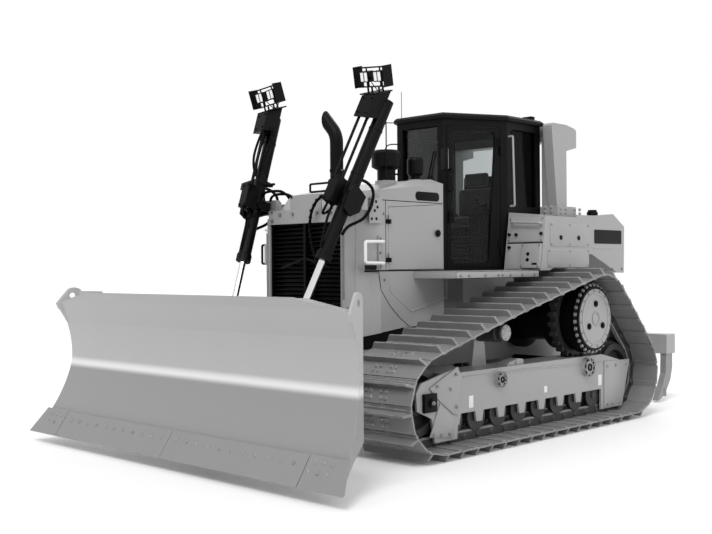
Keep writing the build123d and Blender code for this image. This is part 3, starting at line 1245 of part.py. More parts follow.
# ---------------------------------------------------------------- ripper
PX, PZ = RIPPER_PIVOT
BX = PX - RIPPER_LINK
UZ = PZ + RIPPER_RISE
CHEEK_Y = (280.0, 310.0)
RIPPER_PIN_R = 35.0
LOWER_Y = (CHEEK_Y[1] + 1, CHEEK_Y[1] + 56)
UPPER_Y = (CHEEK_Y[0] - 51, CHEEK_Y[0] - 1)
CYL_BASE = (PX + 20, 1130.0)
CYL_EYE = (PX - 300, PZ)
with BuildPart() as ripper_bracket:
    for side in (1, -1):
        low, high = sorted((side * CHEEK_Y[0], side * CHEEK_Y[1]))
        side_profile(
            [(-1750, 600), (-1980, 480), (PX - 60, PZ - 75), (PX - 75, PZ + 30), (PX - 60, UZ + 60),
             (PX + 40, UZ + 90), (-1750, 1150)],
            (low, high),
        )
        low, high = sorted((side * UPPER_Y[0], side * LOWER_Y[1]))
        rod((PX, low, PZ), (PX, high, PZ), RIPPER_PIN_R)
        rod((PX, low, UZ), (PX, high, UZ), RIPPER_PIN_R)
        low, high = sorted((side * 54, side * 80))
        side_profile(
            [(-1750, 1040), (PX + 80, 1050), (PX - 20, 1110), (PX - 20, 1150), (PX + 40, 1185),
                (-1750, 1150)],
            (low, high),
        )
    slab((-1790, -1750), (-CHEEK_Y[1], CHEEK_Y[1]), (600, 1150))
    rod((CYL_BASE[0], -80, CYL_BASE[1]), (CYL_BASE[0], 80, CYL_BASE[1]), 20)
finish(ripper_bracket, "ripper_bracket")


def link_arm(y, z):
    """One flat link arm between the two ripper pivots at a height, with its pin bores."""
    side_profile([(PX, z - 60), (PX, z + 60), (BX, z + 60), (BX, z - 60)], y)
    for x in (PX, BX):
        rod((x, y[0], z), (x, y[1], z), 60)
    for x in (PX, BX):
        rod((x, y[0] - 5, z), (x, y[1] + 5, z), RIPPER_PIN_R + RUNNING, Mode.SUBTRACT)


with BuildPart() as lower_link:
    for side in (1, -1):
        link_arm(tuple(sorted((side * LOWER_Y[0], side * LOWER_Y[1]))), PZ)
    slab((CYL_EYE[0] - 190, CYL_EYE[0] - 95), (-LOWER_Y[0], LOWER_Y[0]), (PZ - 50, PZ + 50))
    for side in (1, -1):
        low, high = sorted((side * 58, side * 82))
        side_profile(
            [(CYL_EYE[0] - 110, PZ - 50), (CYL_EYE[0] + 30, PZ - 40), (CYL_EYE[0] + 40, PZ + 20),
             (CYL_EYE[0] + 10, PZ + 42), (CYL_EYE[0] - 110, PZ + 50)],
            (low, high),
        )
finish(lower_link, "lower_link")

with BuildPart() as upper_link:
    for side in (1, -1):
        link_arm(tuple(sorted((side * UPPER_Y[0], side * UPPER_Y[1]))), UZ)
    slab((BX + 140, BX + 220), (-UPPER_Y[0] - 1, UPPER_Y[0] + 1), (UZ - 40, UZ + 40))
finish(upper_link, "upper_link")

BEAM_X = (-3335.0, -3120.0)
BEAM_HALF = 1101.0
SHANK_Y = (-1050.0, 0.0, 1050.0)
SHANK_HALF = 37.0
with BuildPart() as ripper_beam:
    slab(BEAM_X, (-BEAM_HALF, BEAM_HALF), (560, 790))
    for side in (1, -1):
        low, high = sorted((side * CHEEK_Y[0], side * CHEEK_Y[1]))
        side_profile(
            [(BEAM_X[1] - 40, 560), (BX + 20, PZ - 70), (BX + 65, PZ), (BX + 65, UZ + 30), (BX + 20, UZ + 70),
             (BX - 50, UZ + 60), (BEAM_X[1] - 80, 790)],
            (low, high),
        )
        low, high = sorted((side * UPPER_Y[0], side * LOWER_Y[1]))
        for z in (PZ, UZ):
            rod((BX, low, z), (BX, high, z), RIPPER_PIN_R)
finish(ripper_beam, "ripper_beam")

with BuildPart() as shanks:
    for y in SHANK_Y:
        side_profile(
            [(-3290, 560 - SEAT), (-3135, 560 - SEAT), (-3125, 330), (-3060, 210), (-2925, 22), (-3010, 40),
             (-3140, 130), (-3240, 250), (-3290, 400)],
            (y - SHANK_HALF, y + SHANK_HALF),
        )
finish(shanks, "shanks")

RIP_START = Vector(CYL_BASE[0], 0, CYL_BASE[1])
RIP_SPAN = Vector(CYL_EYE[0], 0, CYL_EYE[1]) - RIP_START
RIP_DIR = RIP_SPAN.normalized()
with BuildPart() as ripper_barrel:
    rod((CYL_BASE[0], -54 + SEAT, CYL_BASE[1]), (CYL_BASE[0], 54 - SEAT, CYL_BASE[1]), 36)
    rod(RIP_START, RIP_START + RIP_DIR * 430, 50)
    rod(RIP_START + RIP_DIR * 45, RIP_START + RIP_DIR * 415, 40, Mode.SUBTRACT)
    rod(RIP_START + RIP_DIR * 410, RIP_START + RIP_DIR * 440, 26 + RUNNING, Mode.SUBTRACT)
    rod((CYL_BASE[0], -60, CYL_BASE[1]), (CYL_BASE[0], 60, CYL_BASE[1]), 20 + RUNNING, Mode.SUBTRACT)
finish(ripper_barrel, "ripper_barrel")

with BuildPart() as ripper_rod:
    rod(RIP_START + RIP_DIR * 240, RIP_START + RIP_DIR * 264, 40 - RUNNING)
    rod(RIP_START + RIP_DIR * 240, RIP_START + RIP_SPAN - RIP_DIR * 10, 26)
    rod((CYL_EYE[0], -48, CYL_EYE[1]), (CYL_EYE[0], 48, CYL_EYE[1]), 32)
finish(ripper_rod, "ripper_rod")
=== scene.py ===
"""Tracked bulldozer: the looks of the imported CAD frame. Metres, +X forward, +Y left, +Z up."""
import json
from math import cos, pi, radians, sin

import bmesh
import bpy
from mathutils import Matrix, Vector


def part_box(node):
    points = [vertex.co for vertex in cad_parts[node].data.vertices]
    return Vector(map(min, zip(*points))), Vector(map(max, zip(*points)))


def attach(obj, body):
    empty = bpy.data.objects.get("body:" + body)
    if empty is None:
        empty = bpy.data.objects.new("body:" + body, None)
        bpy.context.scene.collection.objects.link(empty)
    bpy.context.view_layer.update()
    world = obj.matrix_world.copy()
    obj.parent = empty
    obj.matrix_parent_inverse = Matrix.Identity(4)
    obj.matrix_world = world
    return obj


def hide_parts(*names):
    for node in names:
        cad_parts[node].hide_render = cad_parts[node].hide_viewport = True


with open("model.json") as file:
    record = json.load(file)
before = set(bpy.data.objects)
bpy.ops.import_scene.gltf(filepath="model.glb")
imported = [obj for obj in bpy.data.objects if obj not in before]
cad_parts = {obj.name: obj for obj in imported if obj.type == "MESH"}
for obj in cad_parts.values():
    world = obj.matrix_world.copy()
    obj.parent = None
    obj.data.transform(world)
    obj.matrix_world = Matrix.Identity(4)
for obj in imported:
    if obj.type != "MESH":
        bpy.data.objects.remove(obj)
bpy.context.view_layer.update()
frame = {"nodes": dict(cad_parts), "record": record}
nodes = frame["nodes"]
joints = {row["name"]: row for row in frame["record"]["behaviour"]["joints"]}
scene = bpy.context.scene

UP = Vector((0, 0, 1))
LEFT = Vector((0, 1, 0))
FORWARD = Vector((1, 0, 0))


# ---------------------------------------------------------------- camera, light and floor
def camera():
    lens = bpy.data.cameras.new("camera")
    lens.sensor_width = 36
    lens.lens = 51.109
    lens.clip_end = 300
    eye = bpy.data.objects.new("camera", lens)
    right = Vector((-0.69346, 0.72046, -0.00744))
    up = Vector((-0.00540, 0.00513, 0.99997))
    ahead = Vector((-0.72047, -0.69348, -0.00033))
    turn = Matrix((right, up, -ahead)).transposed().to_4x4()
    eye.matrix_world = Matrix.Translation((8.0655, 6.7655, 1.6217)) @ turn
    scene.collection.objects.link(eye)
    scene.camera = eye


def node(tree, kind, settings=None, links=None):
    """Adds a node. Settings are attributes or input values, and links are inputs fed by sockets."""
    made = tree.nodes.new(kind)
    for name, value in (settings or {}).items():
        if isinstance(name, str) and hasattr(made, name):
            setattr(made, name, value)
        else:
            made.inputs[name].default_value = value
    for name, socket in (links or {}).items():
        tree.links.new(socket, made.inputs[name])
    return made


def new_material(name):
    """An empty material and its node tree."""
    made = bpy.data.materials.new(name)
    made.use_nodes = True
    made.node_tree.nodes.clear()
    return made, made.node_tree


def srgb(code):
    """A '#rrggbb' colour as linear RGBA."""
    values = [int(code[i:i + 2], 16) / 255 for i in (1, 3, 5)]
    return [v / 12.92 if v <= 0.04045 else ((v + 0.055) / 1.055) ** 2.4 for v in values] + [1.0]


def seen_directly(tree):
    """1 where the camera, a mirror or a pane looks at the surface, else 0."""
    path = node(tree, "ShaderNodeLightPath")
    first = node(tree, "ShaderNodeMath", {"operation": "MAXIMUM"},
                 {0: path.outputs["Is Camera Ray"], 1: path.outputs["Is Glossy Ray"]})
    every = node(tree, "ShaderNodeMath", {"operation": "MAXIMUM"},
                 {0: first.outputs[0], 1: path.outputs["Is Transmission Ray"]})
    return every.outputs[0]


WHITE = (1, 1, 1, 1)
FILL = 0.62                         # light from all round
SHADOW_SHARE = 0.96                 # how much of the floor's own shading shows over its white
SUNS = (                            # name, direction that it comes from, strength, width in degrees
    ("key", (6, 3, 9), 1.35, 24), ("side", (2, 9, 6), 0.55, 40), ("back", (-8, -5, 7), 0.45, 40),
)


def studio():
    """A white room: even light from all round, three wide suns and a paper floor with a soft shadow."""
    world = bpy.data.worlds.new("studio")
    scene.world = world
    world.use_nodes = True
    tree = world.node_tree
    tree.nodes.clear()
    fill = node(tree, "ShaderNodeBackground", {"Color": WHITE, "Strength": FILL}).outputs[0]
    white = node(tree, "ShaderNodeBackground", {"Color": WHITE, "Strength": 1.0}).outputs[0]
    seen = node(tree, "ShaderNodeMixShader", links={0: seen_directly(tree), 1: fill, 2: white})
    node(tree, "ShaderNodeOutputWorld", links={"Surface": seen.outputs[0]})

    paper, tree = new_material("white_backdrop_paper")
    lit = node(tree, "ShaderNodeBsdfDiffuse", {"Color": WHITE}).outputs[0]
    glow = node(tree, "ShaderNodeEmission", {"Color": WHITE, "Strength": 1.0}).outputs[0]
    share = node(tree, "ShaderNodeMath", {"operation": "MULTIPLY", 1: 1 - SHADOW_SHARE},
                 {0: seen_directly(tree)}).outputs[0]
    seen = node(tree, "ShaderNodeMixShader", links={0: share, 1: lit, 2: glow})
    node(tree, "ShaderNodeOutputMaterial", links={"Surface": seen.outputs[0]})
    bpy.ops.mesh.primitive_plane_add(size=160, location=(0, 0, 0))
    floor = bpy.context.object
    floor.name = "floor"
    floor.data.materials.append(paper)

    for name, place, energy, spread in SUNS:
        light = bpy.data.lights.new(name, "SUN")
        light.energy = energy
        light.angle = radians(spread)
        lamp = bpy.data.objects.new(name, light)
        lamp.rotation_euler = (-Vector(place)).to_track_quat("-Z", "Y").to_euler()
        scene.collection.objects.link(lamp)


# ---------------------------------------------------------------- finishes
def crease_highlight_and_shade(tree, place, tone, level, bright, below):
    """The tone with a painted highlight in a band round a level, and painted shade, a darker colour, below
    that level.
    """
    height = node(tree, "ShaderNodeSeparateXYZ", links={"Vector": place}).outputs["Z"]
    # painted shade: below the level the tone turns to the darker colour
    under = node(tree, "ShaderNodeMapRange", {"From Min": level, "From Max": level - 0.03},
                 {"Value": height})
    tone = node(tree, "ShaderNodeMix", {"data_type": "RGBA", 7: srgb(below)},
                {0: under.outputs[0], 6: tone}).outputs[2]
    away = node(tree, "ShaderNodeMath", {"operation": "SUBTRACT", 1: level}, {0: height})
    apart = node(tree, "ShaderNodeMath", {"operation": "ABSOLUTE"}, {0: away.outputs[0]})
    # painted highlight: a bright band on either side of the level
    near = node(tree, "ShaderNodeMapRange",
                {"interpolation_type": "SMOOTHSTEP", "From Min": 0.060, "From Max": 0.002},
                {"Value": apart.outputs[0]})
    return node(tree, "ShaderNodeMix", {"data_type": "RGBA", 7: srgb(bright)},
                {0: near.outputs[0], 6: tone}).outputs[2]


def edge_wear_and_highlight(tree, place, tone, rounded, normal, colour):
    """The tone with its corners turned to another colour here and there: rubbed wear on most finishes, and a
    faint painted highlight on black enamel.
    """
    across = node(tree, "ShaderNodeVectorMath", {"operation": "DOT_PRODUCT"}, {0: rounded, 1: normal})
    rim = node(tree, "ShaderNodeMapRange", {"From Min": 0.985, "From Max": 0.9},
               {"Value": across.outputs["Value"]})
    rub = node(tree, "ShaderNodeTexNoise", {"Scale": 9.0, "Detail": 6.0, "Roughness": 0.7},
               {"Vector": place})
    share = node(tree, "ShaderNodeMapRange", {"From Min": 0.35, "From Max": 0.6},
                 {"Value": rub.outputs["Fac"]})
    bare = node(tree, "ShaderNodeMath", {"operation": "MULTIPLY"},
                {0: rim.outputs[0], 1: share.outputs[0]})
    return node(tree, "ShaderNodeMix", {"data_type": "RGBA", 7: srgb(colour)},
                {0: bare.outputs[0], 6: tone}).outputs[2]


def dusted(tree, drift, tone, normal, share):
    """The tone with pale dust on what faces up."""
    upward = node(tree, "ShaderNodeSeparateXYZ", links={0: normal})
    flat = node(tree, "ShaderNodeMapRange", {"From Min": 0.5, "From Max": 1.0, "To Max": share},
                {"Value": upward.outputs["Z"]})
    lie = node(tree, "ShaderNodeMath", {"operation": "MULTIPLY"}, {0: flat.outputs[0], 1: drift})
    return node(tree, "ShaderNodeMix", {"data_type": "RGBA", 7: srgb("#b4b1ab")},
                {0: lie.outputs[0], 6: tone}).outputs[2]


def coating(name, colour, rough, metal=0.0, patches=0.05, grain=(2.0, 0.15), dust=0.0, wear=None,
            edge=0.004, coat=0.0, shine=0.5, crease_light=None):
    """One finish. Patches is how far the tone drifts over half a metre, grain its bump's spacing and
    depth in mm, dust the share that settles on upward faces, wear the colour at its edges (rubbed bare
    paint, and on black enamel a painted highlight), edge the radius that its corners are seen rounded by,
    shine its mirror level, and the crease argument a height with the colour of a painted highlight there
    and the colour of painted shade below it."""
    made, tree = new_material(name)
    place = node(tree, "ShaderNodeTexCoord").outputs["Object"]
    drift = node(tree, "ShaderNodeTexNoise", {"Scale": 2.0, "Detail": 5.0, "Roughness": 0.6},
                 {"Vector": place}).outputs["Fac"]
    dark, light = ([min(1, value * (1 + way * patches)) for value in srgb(colour)[:3]] + [1]
                   for way in (-1, 1))
    tone = node(tree, "ShaderNodeMix", {"data_type": "RGBA", 6: dark, 7: light}, {0: drift}).outputs[2]
    if crease_light:
        tone = crease_highlight_and_shade(tree, place, tone, *crease_light)
    rounded = node(tree, "ShaderNodeBevel", {"samples": 3, "Radius": edge}).outputs[0]
    normal = node(tree, "ShaderNodeNewGeometry").outputs["Normal"]
    gloss = node(tree, "ShaderNodeMapRange",
                 {"To Min": max(0.02, rough - 0.09), "To Max": min(1, rough + 0.09)},
                 {"Value": drift}).outputs[0]
    if wear:
        tone = edge_wear_and_highlight(tree, place, tone, rounded, normal, wear)
    if dust:
        tone = dusted(tree, drift, tone, normal, dust)
    spacing, depth = grain
    peel = node(tree, "ShaderNodeTexNoise", {"Scale": 1000 / spacing / 4, "Detail": 2.0}, {"Vector": place})
    bump = node(tree, "ShaderNodeBump", {"Strength": 0.6, "Distance": depth / 1000},
                {"Height": peel.outputs["Fac"], "Normal": rounded})
    shader = node(
        tree, "ShaderNodeBsdfPrincipled",
        {"Metallic": metal, "Coat Weight": coat, "Coat Roughness": 0.2, "Specular IOR Level": shine},
        {"Base Color": tone, "Roughness": gloss, "Normal": bump.outputs[0]},
    )
    node(tree, "ShaderNodeOutputMaterial", links={"Surface": shader.outputs[0]})
    return made


def tinted_glass():
    """Toughened cab glass: clear with a slight grey tint, and it mirrors the studio at low angles."""
    made, tree = new_material("toughened_tinted_glass")
    place = node(tree, "ShaderNodeTexCoord").outputs["Object"]
    film = node(tree, "ShaderNodeTexNoise", {"Scale": 3.0, "Detail": 4.0}, {"Vector": place})
    haze = node(tree, "ShaderNodeMapRange", {"To Min": 0.01, "To Max": 0.06}, {"Value": film.outputs["Fac"]})
    through = node(tree, "ShaderNodeBsdfTransparent", {"Color": srgb("#eef0f0")})
    mirror = node(tree, "ShaderNodeBsdfGlossy", {"Color": (0.22, 0.22, 0.22, 1)},
                  {"Roughness": haze.outputs[0]})
    angle = node(tree, "ShaderNodeFresnel", {"IOR": 1.5})
    seen = node(tree, "ShaderNodeMixShader",
                links={0: angle.outputs[0], 1: through.outputs[0], 2: mirror.outputs[0]})
    node(tree, "ShaderNodeOutputMaterial", links={"Surface": seen.outputs[0]})
    return made


def woven_cloth():
    """Hard-wearing seat cloth: a 4 mm basket weave that takes the gloss off, drawn 8 mm wide to show."""
    made, tree = new_material("woven_seat_cloth")
    place = node(tree, "ShaderNodeTexCoord").outputs["Object"]
    rows, columns = (
        node(tree, "ShaderNodeTexWave", {"Scale": 40.0, "bands_direction": way, "Distortion": 0.4},
             {"Vector": place}).outputs["Fac"] for way in ("Y", "Z")
    )
    weave = node(tree, "ShaderNodeMath", {"operation": "MULTIPLY"}, {0: rows, 1: columns}).outputs[0]
    tone = node(tree, "ShaderNodeMix", {"data_type": "RGBA", 6: srgb("#131313"), 7: srgb("#2c2c2c")},
                {0: weave})
    bump = node(tree, "ShaderNodeBump", {"Distance": 0.0015}, {"Height": weave})
    shader = node(tree, "ShaderNodeBsdfPrincipled", {"Roughness": 0.9, "Sheen Weight": 0.3},
                  {"Base Color": tone.outputs[2], "Normal": bump.outputs[0]})
    node(tree, "ShaderNodeOutputMaterial", links={"Surface": shader.outputs[0]})
    return made


BLADE_CREASE = 0.741                # height where the blade's lower and upper face meet
FINISH = {
    # Two-pack enamel sprayed on plate steel: half gloss, faint orange peel, dust on what faces up.
    "panel": coating("sprayed_enamel_panel", "#9b9b9b", 0.42, grain=(3.0, 0.1), dust=0.35,
                     wear="#cfcfcf", coat=0.2),
    # Thicker enamel over rolled plate, with a painted highlight along the crease and painted shade below it.
    "blade": coating("enamel_on_rolled_plate", "#a9a9a9", 0.4, grain=(5.0, 0.2), wear="#cfcfcf",
                     edge=0.006, coat=0.15, crease_light=(BLADE_CREASE, "#dcdcdc", "#898989")),
    # Black enamel on castings and pressed covers: deep, with a faint painted highlight along its corners.
    "black": coating("black_chassis_enamel", "#040404", 0.45, grain=(2.0, 0.12), wear="#1c1c1c",
                     shine=0.12),
    # Hot-rolled track steel: dull, unevenly oxidised, its corners scoured pale by the ground.
    "track": coating("scoured_track_steel", "#7d7d7d", 0.55, 0.15, patches=0.25, grain=(6.0, 0.5),
                     dust=0.15, wear="#ececec", edge=0.006),
    # Forged link and roller steel: darker and oilier than the shoes.
    "forged": coating("oiled_forged_steel", "#333333", 0.5, 0.3, patches=0.25, grain=(5.0, 0.4), dust=0.15,
                      wear="#8a8a8a"),
    # Quenched edge steel: bare, matt, dragged flat by the soil.
    "edge": coating("quenched_edge_steel", "#8a8a8a", 0.48, 0.25, patches=0.08, grain=(4.0, 0.3),
                    wear="#bdbdbd"),
    # Hard chrome, ground and polished: a near mirror.
    "chrome": coating("ground_hard_chrome", "#d9d9d9", 0.12, 1.0, patches=0.02, grain=(2.0, 0.01)),
    # Zinc-plated bolts: a dull silver.
    "zinc": coating("zinc_plated_bolt", "#8d8d8d", 0.42, 0.7, patches=0.08, grain=(2.0, 0.05), edge=0.001),
    # Rubber hoses and gaiters: matt black.
    "rubber": coating("moulded_black_rubber", "#030303", 0.7, grain=(3.0, 0.3), edge=0.001, shine=0.1),
    # Moulded ABS: black with a fine spark-eroded grain.
    "plastic": coating("grained_black_abs", "#050505", 0.55, grain=(1.5, 0.1), edge=0.002, shine=0.12),
    # Prismatic lens over its reflector, and mirror glass: near-white, a painted reflection of the white
    # studio, with a hard gloss and the ribs of the moulding.
    "painted_reflection": coating("prismatic_lamp_lens", "#fbfbfb", 0.2, patches=0.01, grain=(8.0, 0.3),
                         edge=0.0001, coat=0.6),
    # Bare plates where marks would be, the dark of seams, and painted shade in holes: smooth and nearly
    # black.
    "plate": coating("anodised_bare_plate", "#040404", 0.4, grain=(2.0, 0.02), edge=0.001, shine=0.12),
    # Small bare labels and the grab handles: clean white enamel.
    "pale_plate": coating("white_enamel_plate", "#e6e6e6", 0.4, grain=(2.0, 0.02), edge=0.001),
    "glass": tinted_glass(),
    "cloth": woven_cloth(),
}
SLOT_FINISH = {
    "body_paint": "panel", "blade_paint": "blade", "black_paint": "black", "track_steel": "track",
    "worn_steel": "edge", "rod_chrome": "chrome", "window_glass": "glass", "seat_fabric": "cloth",
    "lamp_plastic": "plastic",
}
NODE_FINISH = {"idlers": "forged", "rollers": "forged", "sprockets": "forged", "shanks": "edge"}


def finish_nodes():
    slot_of = {row["node"]: row["material_slot"] for row in frame["record"]["subparts"]}
    for name, made in nodes.items():
        made.data.materials.clear()
        made.data.materials.append(FINISH[NODE_FINISH.get(name, SLOT_FINISH[slot_of[name]])])


# ---------------------------------------------------------------- making pieces
def piece(name, mesh, finish, body, smooth=True):
    """Puts a finished mesh, in place, on its body."""
    made = bpy.data.objects.new(name, mesh)
    scene.collection.objects.link(made)
    mesh.materials.clear()
    mesh.materials.append(FINISH[finish])
    if smooth:
        mesh.shade_smooth()
        mesh.set_sharp_from_angle(angle=radians(35))
    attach(made, body)
    return made


def mesh_of(bm, name):
    mesh = bpy.data.meshes.new(name)
    bm.to_mesh(mesh)
    bm.free()
    return mesh


def shape(name, draw, finish="panel", bevel=0.0, body="tractor"):
    """A piece whose mesh draw(bm) makes in place. Bevel rounds its corners."""
    bm = bmesh.new()
    draw(bm)
    bmesh.ops.remove_doubles(bm, verts=bm.verts, dist=1e-6)
    bmesh.ops.recalc_face_normals(bm, faces=bm.faces)
    if bevel:
        edges = [e for e in bm.edges if len(e.link_faces) == 2 and e.calc_face_angle() > radians(40)]
        bmesh.ops.bevel(bm, geom=edges, offset=bevel, segments=2, affect="EDGES", profile=0.6)
    return piece(name, mesh_of(bm, name), finish, body)


def block(bm, low, high, turn=None):
    """A box from its low to its high corner, carried by the matrix turn."""
    corners = [Vector((x, y, z)) for x in (low[0], high[0]) for y in (low[1], high[1])
               for z in (low[2], high[2])]
    made = [bm.verts.new(turn @ c if turn else c) for c in corners]
    for face in ((0, 1, 3, 2), (4, 6, 7, 5), (0, 4, 5, 1), (2, 3, 7, 6), (0, 2, 6, 4), (1, 5, 7, 3)):
        bm.faces.new([made[k] for k in face])


def side_block(bm, side, x, y, z):
    """A box between two values each of x, y and z, on the left or mirrored to the right."""
    low, high = sorted((side * y[0], side * y[1]))
    block(bm, (x[0], low, z[0]), (x[1], high, z[1]))


def blocks(name, boxes, finish, bevel=0.0, body="tractor", turn=None):
    """A piece made of boxes, each given by its low and its high corner."""
    def draw(bm):
        for low, high in boxes:
            block(bm, low, high, turn)
    return shape(name, draw, finish, bevel, body)


def prism(bm, outline, depth):
    """A closed outline of points, thickened by the vector depth."""
    near = [bm.verts.new(p) for p in outline]
    far = [bm.verts.new(Vector(p) + Vector(depth)) for p in outline]
    bm.faces.new(near)
    bm.faces.new(far[::-1])
    for k in range(len(near)):
        after = (k + 1) % len(near)
        bm.faces.new((near[k], far[k], far[after], near[after]))


def drum(bm, start, end, radius, sides=24, inner=None):
    """A round bar from start to end, or a ring where it has an inner radius."""
    start = Vector(start)
    end = Vector(end)
    along = (end - start).normalized()
    side = along.orthogonal().normalized()
    lift = along.cross(side)
    turns = [2 * pi * k / sides for k in range(sides)]

    def ring(centre, r):
        return [bm.verts.new(centre + r * (side * cos(t) + lift * sin(t))) for t in turns]

    loops = [ring(start, radius), ring(end, radius)]
    if inner:
        loops += [ring(end, inner), ring(start, inner)]
    else:
        bm.faces.new(loops[0][::-1])
        bm.faces.new(loops[1])
    for k in range(len(loops) if inner else 1):
        one, two = loops[k], loops[(k + 1) % len(loops)]
        for i in range(sides):
            j = (i + 1) % sides
            bm.faces.new((one[i], one[j], two[j], two[i]))


def boss(bm, at, out, low, high, radius, sides=24, inner=None):
    """A drum on the direction out, from a low to a high stand-off of the point."""
    drum(bm, at + out * low, at + out * high, radius, sides, inner)


def mirrored(point, side):
    """The point, or its mirror image on the machine's right."""
    return Vector((point[0], side * point[1], point[2]))


def sided(points, side):
    return [mirrored(p, side) for p in points]


def carried(points, at):
    return [at @ Vector(p) for p in points]


def both(draw):
    """Draws the left and the right: side is 1 or -1."""
    for side, word in ((1, "left"), (-1, "right")):
        draw(side, word)


def on_side(side, y, outline, thick, sunk=0.0008):
    """A function that draws an outline in x and z, standing out of the plane y of a side."""
    def draw(bm):
        prism(bm, [(x, side * (y - sunk), z) for x, z in outline], (0, side * thick, 0))
    return draw


def square(x0, z0, x1, z1):
    """A rectangle, as x and z."""
    return [(x0, z0), (x1, z0), (x1, z1), (x0, z1)]


def strip(line, width):
    """The outline of a narrow strip along a line in x and z."""
    upper = []
    lower = []
    for k, (x, z) in enumerate(line):
        before = Vector(line[max(k - 1, 0)])
        after = Vector(line[min(k + 1, len(line) - 1)])
        along = (after - before).normalized()
        upper.append((x - along.y * width / 2, z + along.x * width / 2))
        lower.append((x + along.y * width / 2, z - along.x * width / 2))
    return upper + lower[::-1]


def rounded(x0, z0, x1, z1, r, steps=5):
    """A rectangle with round corners, as x and z."""
    corners = ((x1 - r, z1 - r), (x0 + r, z1 - r), (x0 + r, z0 + r), (x1 - r, z0 + r))
    turns = [pi / 2 * k / steps for k in range(steps + 1)]
    return [(x + r * cos(pi / 2 * quarter + t), z + r * sin(pi / 2 * quarter + t))
            for quarter, (x, z) in enumerate(corners) for t in turns]


def tube(name, points, radius, finish="rubber", body="tractor", roundness=1, order=3):
    """A bent bar or hose along a smooth line whose control points these are."""
    curve = bpy.data.curves.new(name, "CURVE")
    curve.dimensions = "3D"
    curve.bevel_depth = radius
    curve.bevel_resolution = roundness
    curve.use_fill_caps = True
    spline = curve.splines.new("NURBS")
    spline.points.add(len(points) - 1)
    for control, place in zip(spline.points, points):
        control.co = (*place, 1)
    spline.order_u = order
    spline.use_endpoint_u = True
    spline.resolution_u = 8
    holder = bpy.data.objects.new(name + ".line", curve)
    scene.collection.objects.link(holder)
    mesh = bpy.data.meshes.new_from_object(holder.evaluated_get(bpy.context.evaluated_depsgraph_get()))
    mesh.name = name
    bpy.data.objects.remove(holder)
    return piece(name, mesh, finish, body)


def handrail(name, points, radius, finish, body="tractor"):
    """A bar bent from straight runs, with a tight round bend at each corner."""
    controls = [Vector(points[0])]
    for before, corner, after in zip(points, points[1:], points[2:]):
        corner = Vector(corner)
        back = (Vector(before) - corner).normalized() * radius * 3
        on = (Vector(after) - corner).normalized() * radius * 3
        controls += [corner + back, corner, corner + on]
    controls.append(Vector(points[-1]))
    return tube(name, controls, radius, finish, body, roundness=2)


def grip(name, one, two, out, radius, finish, body="tractor"):
    """A handle that stands out, by the vector out, between its two feet."""
    corners = [Vector(one) + Vector(out), Vector(two) + Vector(out)]
    return handrail(name, [one, *corners, two], radius, finish, body)


# ---------------------------------------------------------------- repeats, by Geometry Nodes
def repeat_tree():
    """Puts a copy of one piece at each point, turned by the point's 'turn', and makes them one mesh."""
    tree = bpy.data.node_groups.new("repeat_on_points", "GeometryNodeTree")
    sockets = (("Points", "Geometry"), ("Piece", "Object"), ("Size", "Float"), ("Finish", "Material"))
    for name, kind in sockets:
        tree.interface.new_socket(name, in_out="INPUT", socket_type="NodeSocket" + kind)
    tree.interface.new_socket("Geometry", in_out="OUTPUT", socket_type="NodeSocketGeometry")
    start = node(tree, "NodeGroupInput").outputs
    copy = node(tree, "GeometryNodeObjectInfo", links={"Object": start["Piece"]})
    turn = node(tree, "GeometryNodeInputNamedAttribute", {"data_type": "FLOAT_VECTOR", "Name": "turn"})
    size = node(tree, "ShaderNodeCombineXYZ", links={k: start["Size"] for k in range(3)})
    placed = node(tree, "GeometryNodeInstanceOnPoints", links={
        "Points": start["Points"], "Instance": copy.outputs["Geometry"],
        "Rotation": turn.outputs["Attribute"], "Scale": size.outputs[0],
    })
    real = node(tree, "GeometryNodeRealizeInstances", links={"Geometry": placed.outputs[0]})
    done = node(tree, "GeometryNodeSetMaterial",
                links={"Geometry": real.outputs[0], "Material": start["Finish"]})
    node(tree, "NodeGroupOutput", links={"Geometry": done.outputs[0]})
    return tree


REPEAT = repeat_tree()


def template(name, draw):
    """A piece to repeat, round the origin, its length along +Z."""
    bm = bmesh.new()
    draw(bm)
    bmesh.ops.recalc_face_normals(bm, faces=bm.faces)
    return bpy.data.objects.new(name, mesh_of(bm, name))


def repeat(name, copy, places, finish, size=1.0, smooth=False, body="tractor"):
    """Copies of a template on one body. Places are (point, outward direction, direction of its local X)."""
    mesh = bpy.data.meshes.new(name + ".points")
    mesh.from_pydata([Vector(point) for point, out, along in places], [], [])
    turns = mesh.attributes.new("turn", "FLOAT_VECTOR", "POINT")
    for entry, (point, out, along) in zip(turns.data, places):
        z = Vector(out).normalized()
        x = Vector(along)
        x = (x - z * x.dot(z)).normalized()
        entry.vector = Matrix((x, z.cross(x), z)).transposed().to_euler()
    holder = bpy.data.objects.new(name + ".holder", mesh)
    scene.collection.objects.link(holder)
    scene.collection.objects.link(copy)
    step = holder.modifiers.new("repeat", "NODES")
    step.node_group = REPEAT
    keys = {item.name: item.identifier for item in REPEAT.interface.items_tree if item.in_out == "INPUT"}
    step[keys["Piece"]] = copy
    step[keys["Size"]] = size
    step[keys["Finish"]] = FINISH[finish]
    made = bpy.data.meshes.new_from_object(holder.evaluated_get(bpy.context.evaluated_depsgraph_get()))
    made.name = name
    bpy.data.objects.remove(holder)
    scene.collection.objects.unlink(copy)
    return piece(name, made, finish, body, smooth)


def hex_bolt(bm):
    """A hex head 1 across its flats on a thin round washer."""
    drum(bm, (0, 0, 0), (0, 0, 0.12), 0.72, 12)
    drum(bm, (0, 0, 0.1), (0, 0, 0.6), 0.577, 6)


BOLT = template("hex_bolt", hex_bolt)


